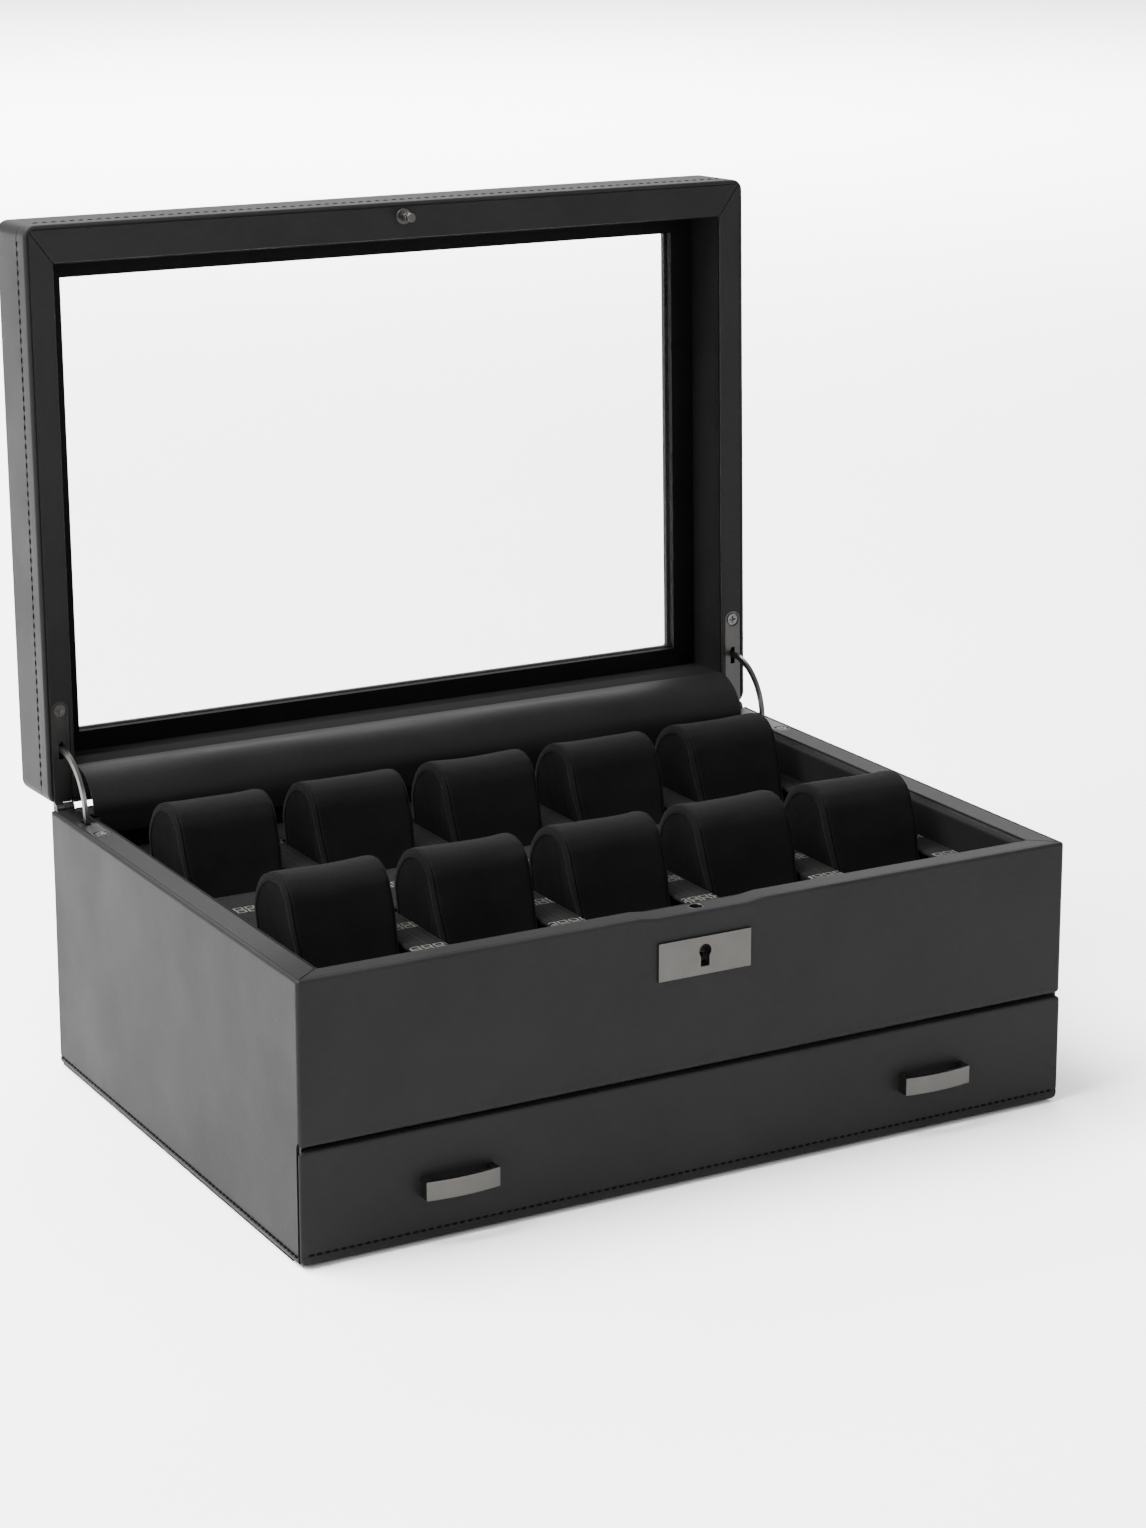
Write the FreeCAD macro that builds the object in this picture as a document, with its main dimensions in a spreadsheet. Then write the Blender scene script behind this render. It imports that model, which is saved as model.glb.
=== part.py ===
"""Watch box: leather-covered case with a glazed lid, a drawer and ten removable cushions.

Frame: millimetres, origin at the centre of the underside, X right, Y towards the
back, Z up. The lid is drawn shut, then turned open about the hinge axis.
"""
import FreeCAD, Part
import math
import os
import Sketcher

doc = FreeCAD.newDocument("watch_box")
sheet = doc.addObject("Spreadsheet::Sheet", "Dims")

DIMENSIONS = [
    ("case_width", 345.0, "outer width of base and lid"),
    ("case_depth", 244.0, "outer depth of base and lid"),
    ("case_height", 112.5, "height of the base's rim"),
    ("leather", 1.2, "leather thickness"),
    ("felt", 1.0, "felt thickness"),
    ("side_board", 10.8, "side panel thickness"),
    ("front_board", 8.8, "front boards' thickness"),
    ("back_board", 10.0, "back panel thickness"),
    ("bottom_board", 4.0, "bottom board thickness"),
    ("shelf_low", 49.5, "underside of the shelf"),
    ("shelf_board", 5.0, "shelf thickness"),
    ("fascia_low", 47.8, "lower edge of the front fascia"),
    ("gap", 0.4, "clearance round the drawer front"),
    ("drawer_low", 1.5, "lower edge of the drawer front"),
    ("drawer_high", 46.3, "upper edge of the drawer front"),
    ("lining_board", 4.0, "lining board thickness"),
    ("lining_high", 110.5, "top of the lining boards"),
    ("rear_inner", 107.0, "inner face of the rear lining"),
    ("rear_rim", 12.0, "width of the rear rim strip"),
    ("notch_half", 20.0, "half width of the finger notch's floor"),
    ("notch_slope", 8.0, "run of each slope of the finger notch"),
    ("notch_depth", 1.0, "depth of the finger notch"),
    ("well_width", 45.0, "cushion well, across"),
    ("well_length", 60.0, "cushion well, front to back"),
    ("well_pitch", 61.0, "distance between well centres"),
    ("front_row", -49.0, "centre of the front row of wells"),
    ("rear_row", 57.0, "centre of the rear row of wells"),
    ("tray_high", 96.5, "top of the tray lining"),
    ("tray_lining", 0.6, "tray lining thickness"),
    ("tray_plate", 3.5, "thickness of the tray's top boards"),
    ("tray_wall", 3.0, "thickness of the tray's upright boards"),
    ("cushion_width", 42.0, "cushion, across"),
    ("cushion_low", 54.8, "underside of the cushions"),
    ("cushion_half", 28.5, "half depth of the cushion's underside"),
    ("cushion_crown", 21.0, "radius of the cushion's crown"),
    ("crown_high", 104.5, "height of the crown's centre"),
    ("cushion_round", 3.5, "rounding of the cushion's side edges"),
    ("lid_gap", 0.5, "gap between the shut lid and the rim"),
    ("lid_depth", 33.0, "depth of the lid"),
    ("lid_open_angle", 91.6, "angle at which the stays stop the lid"),
    ("lid_side_in", 160.2, "inner face of the lid's side rails"),
    ("lid_front_in", 106.0, "inner face of the lid's front rail"),
    ("lid_corner", 5.0, "corner radius of the lid"),
    ("window_x", 148.5, "half width of the window"),
    ("window_front", 97.0, "front edge of the window"),
    ("window_back", 98.0, "back edge of the window"),
    ("lid_lip", 1.8, "thickness of the lip over the glass"),
    ("glass", 3.0, "glass thickness"),
    ("glass_edge", 156.0, "half width of the glass pane"),
    ("glass_front", 103.0, "front edge of the glass pane"),
    ("glass_back", 104.0, "back edge of the glass pane"),
    ("glass_play", 0.2, "play round the glass pane"),
    ("bead", 3.0, "thickness of the glazing bead"),
    ("axis_y", 123.5, "hinge axis, from the centre plane"),
    ("axis_z", 112.75, "hinge axis, above the underside"),
    ("barrel", 2.2, "radius of the knuckles"),
    ("pin", 0.9, "radius of the hinge pins"),
    ("pin_play", 0.05, "radial clearance of the lid's knuckles"),
    ("leaf_in", 162.0, "inner edge of the hinge leaves"),
    ("leaf_out", 170.0, "outer edge of the hinge leaves"),
    ("leaf_split", 166.0, "plane between base and lid knuckles"),
    ("leaf_play", 0.1, "end clearance of a knuckle"),
    ("leaf_thick", 2.0, "leaf thickness"),
    ("leaf_end", 121.0, "where a leaf stops short of the other's knuckle"),
    ("leaf_root", 122.6, "where a leaf runs into its own knuckle"),
    ("screw_y", 81.7, "leaf screw and centre of the leaf's round end"),
    ("screw_shank", 1.2, "leaf screw shank radius"),
    ("screw_head", 2.7, "leaf screw head radius"),
    ("screw_cone", 1.5, "height of the countersink"),
    ("screw_length", 14.0, "leaf screw length"),
    ("cross_width", 0.6, "width of the screw's cross recess"),
    ("cross_length", 3.0, "length of the screw's cross recess"),
    ("cross_depth", 0.8, "depth of the screw's cross recess"),
    ("knuckle_cut", 120.9, "front of the cut-outs for the knuckles"),
    ("knuckle_side", 0.5, "side clearance of those cut-outs"),
    ("knuckle_low", 2.85, "half height of those cut-outs"),
    ("slot_front", 95.0, "front end of the stay slot"),
    ("slot_back", 102.7, "back end of the stay slot"),
    ("slot_width", 2.2, "width of the stay slot"),
    ("mortise_front", 96.3, "front end of the stay mortise"),
    ("mortise_back", 110.5, "back end of the stay mortise"),
    ("mortise_width", 4.2, "width of the stay mortise"),
    ("mortise_depth", 23.0, "depth of the stay mortise beyond the axis"),
    ("stay_inner", 24.0, "inner radius of the stay arm"),
    ("stay_outer", 26.4, "outer radius of the stay arm"),
    ("stay_thick", 1.5, "stay arm thickness"),
    ("stay_overrun", 9.5, "angle the stay runs on past each leaf"),
    ("stop_angle", 8.0, "angle of the stop pins past each leaf"),
    ("stop_radius", 0.8, "radius of the stop pins"),
    ("stop_length", 3.6, "length of the stop pins"),
    ("flap_half", 151.0, "half width of the spine flap"),
    ("flap_thick", 0.8, "spine flap thickness"),
    ("flap_low", 104.0, "lower edge of the spine flap"),
    ("flap_high", 125.0, "upper edge of the spine flap, lid shut"),
    ("stud_y", -115.6, "catch stud and latch hole"),
    ("stud", 2.0, "radius of the catch stud"),
    ("stud_neck", 1.2, "radius of the stud's groove"),
    ("stud_tail", 1.4, "radius of the stud's thread"),
    ("stud_low", 104.6, "tip of the stud, lid shut"),
    ("groove_low", 106.2, "lower edge of the groove, lid shut"),
    ("groove_high", 108.2, "upper edge of the groove, lid shut"),
    ("stud_top", 126.0, "end of the stud's thread, lid shut"),
    ("washer", 3.4, "radius of the stud's washer"),
    ("washer_thick", 1.0, "thickness of the washer"),
    ("latch_hole", 2.6, "radius of the latch hole"),
    ("latch_low", 103.5, "bottom of the latch hole"),
    ("bush", 3.2, "outer radius of the latch bush"),
    ("bush_length", 2.2, "length of the latch bush"),
    ("lock_z", 95.5, "height of the key's axis"),
    ("lock_half", 14.0, "half width of the lock pocket"),
    ("lock_low", 88.0, "bottom of the lock pocket"),
    ("lock_high", 109.0, "top of the lock pocket"),
    ("lock_face", 119.8, "front of the lock pocket"),
    ("lock_plate", 1.0, "thickness of the lock's back plate"),
    ("post", 1.2, "radius of the post in the lock"),
    ("post_end", 119.4, "front end of the post"),
    ("post_play", 0.05, "radial clearance on the post"),
    ("tumbler", 5.2, "radius of the tumbler"),
    ("tumbler_front", 119.6, "front face of the tumbler"),
    ("tumbler_back", 118.0, "back face of the tumbler"),
    ("keyway", 1.8, "width of the tumbler's keyway"),
    ("keyway_low", 4.2, "depth of the keyway below the key's axis"),
    ("keyway_high", 1.7, "start of the keyway below the key's axis"),
    ("crank", 2.83, "drive pin, across and above the key's axis"),
    ("drive_pin", 0.9, "radius of the drive pin"),
    ("drive_end", 115.0, "back end of the drive pin"),
    ("bolt_front", 116.8, "front face of the bolt"),
    ("bolt_back", 114.4, "back face of the bolt"),
    ("bolt_low", 97.0, "underside of the bolt"),
    ("bolt_body", 103.2, "top of the bolt's body"),
    ("bolt_left", -2.0, "left end of the bolt, unlocked"),
    ("bolt_right", 12.0, "right end of the bolt, unlocked"),
    ("riser_left", 8.0, "left side of the bolt's riser"),
    ("tongue_tip", 7.1, "tip of the bolt's tongue, unlocked"),
    ("tongue_low", 106.6, "underside of the tongue"),
    ("tongue_high", 107.8, "top of the tongue"),
    ("drive_slot", 2.4, "width of the slot for the drive pin"),
    ("drive_slot_high", 100.8, "top of the slot for the drive pin"),
    ("keyhole", 2.75, "radius of the keyhole"),
    ("keyhole_neck", 3.9, "width of the keyhole's neck"),
    ("keyhole_low", 89.3, "bottom of the keyhole"),
    ("plate_half", 20.8, "half width of the escutcheon"),
    ("plate_low", 86.0, "bottom of the escutcheon"),
    ("plate_high", 101.4, "top of the escutcheon"),
    ("plate_thick", 1.0, "thickness of the escutcheon"),
    ("drawer_side_in", 152.0, "inner face of the drawer's sides"),
    ("drawer_side_out", 160.0, "outer face of the drawer's sides"),
    ("drawer_floor_low", 5.2, "underside of the drawer"),
    ("drawer_floor", 3.0, "thickness of the drawer's bottom"),
    ("drawer_wall_high", 42.0, "top of the drawer's sides"),
    ("drawer_back_in", 98.0, "inner face of the drawer's back"),
    ("drawer_back_out", 106.0, "outer face of the drawer's back"),
    ("handle_x", 108.0, "handle centre, from the middle"),
    ("handle_z", 23.3, "handle centre height"),
    ("handle_length", 31.0, "handle length"),
    ("handle_height", 7.5, "handle height"),
    ("handle_reach", 7.0, "handle projection"),
    ("handle_bow", 86.5, "radius of the handle's bow"),
    ("handle_strip", 1.6, "thickness of the handle's bow"),
    ("handle_leg", 2.5, "width of the handle's legs"),
    ("handle_screw", 0.8, "radius of the handle screws"),
    ("handle_screw_end", 125.5, "tip of the handle screws"),
    ("handle_screw_head", 2.2, "head radius of the handle screws"),
    ("handle_head_thick", 1.2, "head thickness of the handle screws"),
]

for row, (alias, number, note) in enumerate(DIMENSIONS, start=1):
    sheet.set(f"A{row}", note)
    sheet.set(f"B{row}", str(number))
    sheet.setAlias(f"B{row}", alias)
doc.recompute()

V = FreeCAD.Vector
X_AXIS = V(1, 0, 0)
Y_AXIS = V(0, 1, 0)
Z_AXIS = V(0, 0, 1)

# Planes that several pieces share, as expressions on the sheet.
OUT_X = "Dims.case_width / 2"
OUT_Y = "Dims.case_depth / 2"
SKIN_X = "(Dims.case_width / 2 - Dims.leather)"
SKIN_Y = "(Dims.case_depth / 2 - Dims.leather)"
WALL_X = f"({SKIN_X} - Dims.side_board)"
FASCIA_Y = f"({SKIN_Y} - Dims.front_board)"
BACK_Y = f"({SKIN_Y} - Dims.back_board)"
LINING_X = f"({WALL_X} - Dims.lining_board)"
LINING_Y = f"({FASCIA_Y} - Dims.lining_board)"
RIM_Z = "Dims.case_height"
BOARD_Z = "(Dims.case_height - Dims.leather)"
SHELF_Z = "(Dims.shelf_low + Dims.shelf_board)"
TRAY_Z = "(Dims.tray_high - Dims.tray_lining)"
LID_Z = "(Dims.case_height + Dims.lid_gap)"
LID_WOOD_Z = f"({LID_Z} + Dims.leather)"
LID_TOP = f"({LID_Z} + Dims.lid_depth)"
LID_SKIN_Z = f"({LID_TOP} - Dims.leather)"
LIP_Z = f"({LID_SKIN_Z} - Dims.lid_lip)"
GLASS_Z = f"({LIP_Z} - Dims.glass)"
BEAD_Z = f"({GLASS_Z} - Dims.bead)"
LEAF_Z = "(Dims.case_height - Dims.leaf_thick)"


def dim(alias):
    """Value of one driving dimension."""
    return float(sheet.get(alias))


def neg(expression):
    return f"-({expression})"


def bind(obj, pairs):
    for prop, expression in pairs:
        obj.setExpression(prop, expression)


def box(name, x0, x1, y0, y1, z0, z1):
    """Block between the given planes."""
    obj = doc.addObject("Part::Box", name)
    bind(obj, [
        ("Length", f"({x1}) - ({x0})"),
        ("Width", f"({y1}) - ({y0})"),
        ("Height", f"({z1}) - ({z0})"),
        ("Placement.Base.x", x0),
        ("Placement.Base.y", y0),
        ("Placement.Base.z", z0),
    ])
    return obj


ROD_TURN = {
    "x": FreeCAD.Rotation(Y_AXIS, 90),
    "y": FreeCAD.Rotation(X_AXIS, -90),
    "z": FreeCAD.Rotation(),
}


def rod(name, axis, radius, length, x, y, z):
    """Cylinder that starts at (x, y, z) and runs along +axis."""
    obj = doc.addObject("Part::Cylinder", name)
    obj.Placement = FreeCAD.Placement(V(), ROD_TURN[axis])
    bind(obj, [
        ("Radius", radius),
        ("Height", length),
        ("Placement.Base.x", x),
        ("Placement.Base.y", y),
        ("Placement.Base.z", z),
    ])
    return obj


def wedge(name, near, far, y0, y1, z0, z1):
    """Block whose X range is `near` at y0 and `far` at y1."""
    obj = doc.addObject("Part::Wedge", name)
    bind(obj, [
        ("Xmin", near[0]), ("Xmax", near[1]),
        ("X2min", far[0]), ("X2max", far[1]),
        ("Ymin", y0), ("Ymax", y1),
        ("Zmin", z0), ("Zmax", z1),
        ("Z2min", z0), ("Z2max", z1),
    ])
    return obj


def cut(name, base, *tools):
    """Base minus each tool in turn; the last step carries the name."""
    result = base
    for index, tool in enumerate(tools):
        last = index == len(tools) - 1
        step = doc.addObject("Part::Cut", name if last else f"{name}_step")
        step.Base = result
        step.Tool = tool
        result = step
    return result


def fuse(name, *shapes):
    obj = doc.addObject("Part::MultiFuse", name)
    obj.Shapes = list(shapes)
    return obj


def common(name, *shapes):
    obj = doc.addObject("Part::MultiCommon", name)
    obj.Shapes = list(shapes)
    return obj


def group(name, *shapes):
    """Separate solids that make up one sub-part."""
    obj = doc.addObject("Part::Compound", name)
    obj.Links = list(shapes)
    return obj


def mirrored(name, source):
    """Copy on the other side of the centre plane."""
    obj = doc.addObject("Part::Mirroring", name)
    obj.Source = source
    obj.Normal = X_AXIS
    return obj


def rounded_block(name, x, y, z0, z1, radius):
    """Block centred on the Z axis with its four upright edges rounded."""
    block = box(f"{name}_block", neg(x), x, neg(y), y, z0, z1)
    doc.recompute()
    rounding = doc.addObject("Part::Fillet", name)
    rounding.Base = block
    upright = []
    for index, edge in enumerate(block.Shape.Edges, start=1):
        if abs(edge.tangentAt(edge.FirstParameter).z) > 0.9:
            upright.append((index, radius, radius))
    rounding.Edges = upright
    return rounding


HINGE_POINT = V(0, dim("axis_y"), dim("axis_z"))
LID_OPEN = FreeCAD.Placement(
    V(), FreeCAD.Rotation(X_AXIS, -dim("lid_open_angle")), HINGE_POINT)


def opened(name, source):
    """Lid piece, drawn shut, turned open about the hinge axis."""
    obj = group(name, source)
    obj.Placement = LID_OPEN
    return obj


# ---------------------------------------------------------------- shared tools

def notch_tool(name, z):
    """Finger notch in the front rim, with its floor at height z."""
    rise = 2
    tool = wedge(
        name,
        ("-Dims.notch_half", "Dims.notch_half"),
        (f"-Dims.notch_half - Dims.notch_slope / Dims.notch_depth * {rise}",
         f"Dims.notch_half + Dims.notch_slope / Dims.notch_depth * {rise}"),
        "0", f"{rise}", f"{FASCIA_Y} - 1", f"{OUT_Y} + 1")
    tool.Placement = FreeCAD.Placement(V(), FreeCAD.Rotation(X_AXIS, 90))
    tool.setExpression("Placement.Base.z", z)
    return tool


notch_top = notch_tool("tool_notch_top", f"{RIM_Z} - Dims.notch_depth")
notch_board = notch_tool("tool_notch_board", f"{BOARD_Z} - Dims.notch_depth")


def leaf_outline(name, z0, z1, y_end):
    """Plan outline of a right-hand hinge leaf with its round end."""
    half = "(Dims.leaf_out - Dims.leaf_in) / 2"
    plate = box(f"{name}_plate", "Dims.leaf_in", "Dims.leaf_out", "Dims.screw_y", y_end, z0, z1)
    tip = rod(f"{name}_tip", "z", half, f"({z1}) - ({z0})", "Dims.leaf_split", "Dims.screw_y", z0)
    return fuse(name, plate, tip)


leaf_bed_base = leaf_outline("tool_leaf_bed_base", LEAF_Z, f"{RIM_Z} + 1", f"{OUT_Y} + 1")
leaf_bed_lid = leaf_outline(
    "tool_leaf_bed_lid", f"{LID_Z} - 1", f"{LID_Z} + Dims.leaf_thick", f"{OUT_Y} + 1")

knuckle_cut = box(
    "tool_knuckle_cut",
    "Dims.leaf_in - Dims.knuckle_side", "Dims.leaf_out + Dims.knuckle_side",
    "Dims.knuckle_cut", f"{OUT_Y} + 1",
    "Dims.axis_z - Dims.knuckle_low", "Dims.axis_z + Dims.knuckle_low")

half_mortise = "Dims.mortise_width / 2"
mortise = box(
    "tool_mortise",
    f"Dims.leaf_split - {half_mortise}", f"Dims.leaf_split + {half_mortise}",
    "Dims.mortise_front", "Dims.mortise_back",
    "Dims.axis_z - Dims.mortise_depth", "Dims.axis_z + Dims.mortise_depth")

shank_base = rod(
    "tool_shank_base", "z", "Dims.screw_shank", "Dims.screw_length",
    "Dims.leaf_split", "Dims.screw_y", f"{RIM_Z} - Dims.screw_length")
shank_lid = rod(
    "tool_shank_lid", "z", "Dims.screw_shank", "Dims.screw_length",
    "Dims.leaf_split", "Dims.screw_y", LID_Z)

leaf_tools_left = {
    "bed_base": mirrored("tool_leaf_bed_base_left", leaf_bed_base),
    "bed_lid": mirrored("tool_leaf_bed_lid_left", leaf_bed_lid),
    "knuckle": mirrored("tool_knuckle_cut_left", knuckle_cut),
}

keyhole_round = rod(
    "tool_keyhole_round", "y", "Dims.keyhole", "6",
    "0", f"{neg(OUT_Y)} - 2", "Dims.lock_z")
keyhole_neck = box(
    "tool_keyhole_neck", "-Dims.keyhole_neck / 2", "Dims.keyhole_neck / 2",
    f"{neg(OUT_Y)} - 2", f"{neg(OUT_Y)} + 4", "Dims.keyhole_low", "Dims.lock_z")
keyhole = fuse("tool_keyhole", keyhole_round, keyhole_neck)

# ---------------------------------------------------------------- case boards

base_felt = box(
    "base_felt", neg(SKIN_X), SKIN_X, f"{neg(FASCIA_Y)} + Dims.gap", SKIN_Y, "0", "Dims.felt")

bottom_board = box(
    "bottom_board", neg(WALL_X), WALL_X, f"{neg(FASCIA_Y)} + Dims.gap", BACK_Y,
    "Dims.felt", "Dims.felt + Dims.bottom_board")

side_raw = box(
    "side_raw", WALL_X, SKIN_X, neg(SKIN_Y), SKIN_Y, "Dims.felt", BOARD_Z)
MITRE_RUN = "(Dims.front_board + Dims.gap)"
mitre_tool = wedge(
    "tool_mitre",
    (f"{WALL_X} - 1", f"{SKIN_X} + Dims.gap"),
    (f"{WALL_X} - 1", f"{SKIN_X} + Dims.gap - {MITRE_RUN}"),
    neg(SKIN_Y), f"{neg(SKIN_Y)} + {MITRE_RUN}",
    "0", "Dims.fascia_low")
right_side_panel = cut(
    "right_side_panel", side_raw,
    mitre_tool, leaf_bed_base, knuckle_cut, mortise, shank_base)
left_side_panel = mirrored("left_side_panel", right_side_panel)

back_panel = box(
    "back_panel", neg(WALL_X), WALL_X, BACK_Y, SKIN_Y, "Dims.felt", BOARD_Z)

fascia_raw = box(
    "fascia_raw", neg(WALL_X), WALL_X, neg(SKIN_Y), neg(FASCIA_Y),
    "Dims.fascia_low", BOARD_Z)
lock_pocket = box(
    "tool_lock_pocket", "-Dims.lock_half", "Dims.lock_half",
    "-Dims.lock_face", f"{neg(FASCIA_Y)} + 1", "Dims.lock_low", "Dims.lock_high")
latch_bore = rod(
    "tool_latch_bore", "z", "Dims.latch_hole", f"{RIM_Z} - Dims.latch_low",
    "0", "Dims.stud_y", "Dims.latch_low")
BUSH_TOP = f"({RIM_Z} - Dims.notch_depth)"
bush_seat = rod(
    "tool_bush_seat", "z", "Dims.bush", "Dims.bush_length + 1",
    "0", "Dims.stud_y", f"{BUSH_TOP} - Dims.bush_length")
front_fascia_board = cut(
    "front_fascia_board", fascia_raw,
    notch_board, lock_pocket, latch_bore, bush_seat, keyhole)

shelf_board = box(
    "shelf_board", neg(WALL_X), WALL_X, neg(FASCIA_Y), BACK_Y, "Dims.shelf_low", SHELF_Z)

# ---------------------------------------------------------------- case leather

leather_front_raw = box(
    "leather_front_raw", neg(OUT_X), OUT_X, neg(OUT_Y), neg(SKIN_Y),
    "Dims.fascia_low", BOARD_Z)
case_leather_front = cut("case_leather_front", leather_front_raw, notch_board, keyhole)

leather_right = box(
    "leather_right", SKIN_X, OUT_X, f"{neg(SKIN_Y)} + Dims.gap", SKIN_Y,
    "Dims.felt", BOARD_Z)
leather_right_cut = cut("leather_right_cut", leather_right, knuckle_cut)
leather_left_cut = mirrored("leather_left_cut", leather_right_cut)
case_leather_sides = group("case_leather_sides", leather_right_cut, leather_left_cut)

leather_back_raw = box(
    "leather_back_raw", neg(OUT_X), OUT_X, SKIN_Y, OUT_Y, "Dims.felt", BOARD_Z)
case_leather_back = cut(
    "case_leather_back", leather_back_raw,
    leaf_bed_base, leaf_tools_left["bed_base"], knuckle_cut, leaf_tools_left["knuckle"])

# Rim strips: mitred at the corners, the front one dips with the finger notch.
REAR_RIM_Y = f"({OUT_Y} - Dims.rear_rim)"
strip_front_slab = wedge(
    "strip_front_slab",
    (neg(OUT_X), OUT_X), (neg(WALL_X), WALL_X),
    neg(OUT_Y), neg(FASCIA_Y), f"{BOARD_Z} - Dims.notch_depth", RIM_Z)
strip_under_block = box(
    "strip_under_block", f"{neg(OUT_X)} - 1", f"{OUT_X} + 1",
    f"{neg(OUT_Y)} - 1", f"{neg(FASCIA_Y)} + 1", f"{BOARD_Z} - Dims.notch_depth - 1", BOARD_Z)
strip_under = cut("strip_under", strip_under_block, notch_board)
strip_front = cut("strip_front", strip_front_slab, notch_top, strip_under, bush_seat)

strip_rear_raw = wedge(
    "strip_rear_raw",
    (neg(WALL_X), WALL_X), (neg(OUT_X), OUT_X),
    REAR_RIM_Y, OUT_Y, BOARD_Z, RIM_Z)
strip_rear = cut(
    "strip_rear", strip_rear_raw,
    leaf_bed_base, leaf_tools_left["bed_base"], knuckle_cut, leaf_tools_left["knuckle"])


def side_strip(name, inner_x, outer_x, inner_front, inner_back, outer_y, z0, z1):
    """Right-hand rim strip with mitred ends."""
    strip = wedge(
        name, (neg(inner_back), inner_front), (neg(outer_y), outer_y),
        inner_x, outer_x, z0, z1)
    strip.Placement = FreeCAD.Placement(V(), FreeCAD.Rotation(Z_AXIS, -90))
    return strip


strip_right_raw = side_strip(
    "strip_right_raw", WALL_X, OUT_X, FASCIA_Y, REAR_RIM_Y, OUT_Y, BOARD_Z, RIM_Z)
strip_right = cut("strip_right", strip_right_raw, leaf_bed_base, knuckle_cut)
strip_left = mirrored("strip_left", strip_right)
base_rim_strips = group("base_rim_strips", strip_front, strip_rear, strip_right, strip_left)

# ---------------------------------------------------------------- linings, tray

lining_right = box(
    "lining_right", LINING_X, WALL_X, neg(LINING_Y), "Dims.rear_inner",
    SHELF_Z, "Dims.lining_high")
lining_left = mirrored("lining_left", lining_right)
lining_front = box(
    "lining_front", neg(WALL_X), WALL_X, neg(FASCIA_Y), neg(LINING_Y),
    SHELF_Z, "Dims.lining_high")
lining_rear = box(
    "lining_rear", neg(WALL_X), WALL_X, "Dims.rear_inner", BACK_Y,
    SHELF_Z, "Dims.lining_high")
case_linings = group("case_linings", lining_right, lining_left, lining_front, lining_rear)

ROWS = (("front", "Dims.front_row"), ("rear", "Dims.rear_row"))
COLUMNS = (-2, -1, 0, 1, 2)
HALF_WELL_Y = "Dims.well_length / 2"
HALF_WELL_X = "Dims.well_width / 2"
PLATE_Z = f"({TRAY_Z} - Dims.tray_plate)"


def tray_rail(name, y0, y1, wall_front, wall_back):
    """Board across the tray on one or two upright walls."""
    pieces = [box(f"{name}_top", neg(LINING_X), LINING_X, y0, y1, PLATE_Z, TRAY_Z)]
    if wall_front:
        pieces.append(box(
            f"{name}_wall_front", neg(LINING_X), LINING_X, y0, f"({y0}) + Dims.tray_wall",
            SHELF_Z, PLATE_Z))
    if wall_back:
        pieces.append(box(
            f"{name}_wall_back", neg(LINING_X), LINING_X, f"({y1}) - Dims.tray_wall", y1,
            SHELF_Z, PLATE_Z))
    return pieces


tray_rails = group(
    "tray_rails",
    *tray_rail("rail_front", neg(LINING_Y), f"Dims.front_row - {HALF_WELL_Y}", False, True),
    *tray_rail("rail_middle", f"Dims.front_row + {HALF_WELL_Y}",
               f"Dims.rear_row - {HALF_WELL_Y}", True, True),
    *tray_rail("rail_rear", f"Dims.rear_row + {HALF_WELL_Y}", "Dims.rear_inner", True, False))


def column_x(column):
    return f"({column} * Dims.well_pitch)"


dividers = []
wells = []
for row_name, row_y in ROWS:
    y0 = f"{row_y} - {HALF_WELL_Y}"
    y1 = f"{row_y} + {HALF_WELL_Y}"
    edges = [neg(LINING_X)]
    for column in COLUMNS:
        edges.append(f"{column_x(column)} - {HALF_WELL_X}")
        edges.append(f"{column_x(column)} + {HALF_WELL_X}")
        wells.append(box(
            f"well_{row_name}", edges[-2], edges[-1], y0, y1, f"{TRAY_Z} - 1", f"{TRAY_Z} + 2"))
    edges.append(LINING_X)
    for left, right in zip(edges[0::2], edges[1::2]):
        dividers.append(box(f"divider_{row_name}", left, right, y0, y1, SHELF_Z, TRAY_Z))
tray_dividers = group("tray_dividers", *dividers)

tray_sheet = box(
    "tray_sheet", neg(LINING_X), LINING_X, neg(LINING_Y), "Dims.rear_inner",
    TRAY_Z, "Dims.tray_high")
tray_lining = cut("tray_lining", tray_sheet, fuse("tool_wells", *wells))

# ---------------------------------------------------------------- hinges

cone_base = doc.addObject("Part::Cone", "cone_base")
bind(cone_base, [
    ("Radius1", "Dims.screw_shank"), ("Radius2", "Dims.screw_head"),
    ("Height", "Dims.screw_cone"),
    ("Placement.Base.x", "Dims.leaf_split"), ("Placement.Base.y", "Dims.screw_y"),
    ("Placement.Base.z", f"{RIM_Z} - Dims.screw_cone")])
cone_lid = doc.addObject("Part::Cone", "cone_lid")
bind(cone_lid, [
    ("Radius1", "Dims.screw_head"), ("Radius2", "Dims.screw_shank"),
    ("Height", "Dims.screw_cone"),
    ("Placement.Base.x", "Dims.leaf_split"), ("Placement.Base.y", "Dims.screw_y"),
    ("Placement.Base.z", LID_Z)])


def leaf_screw(name, cone, shank, z0, z1):
    """Countersunk screw with a cross recess between z0 and z1."""
    half_long = "Dims.cross_length / 2"
    half_wide = "Dims.cross_width / 2"
    body = fuse(f"{name}_body", cone, shank)
    bars = []
    for half_x, half_y in ((half_long, half_wide), (half_wide, half_long)):
        bars.append(box(
            f"{name}_bar",
            f"Dims.leaf_split - {half_x}", f"Dims.leaf_split + {half_x}",
            f"Dims.screw_y - {half_y}", f"Dims.screw_y + {half_y}", z0, z1))
    return cut(name, body, *bars)


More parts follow.
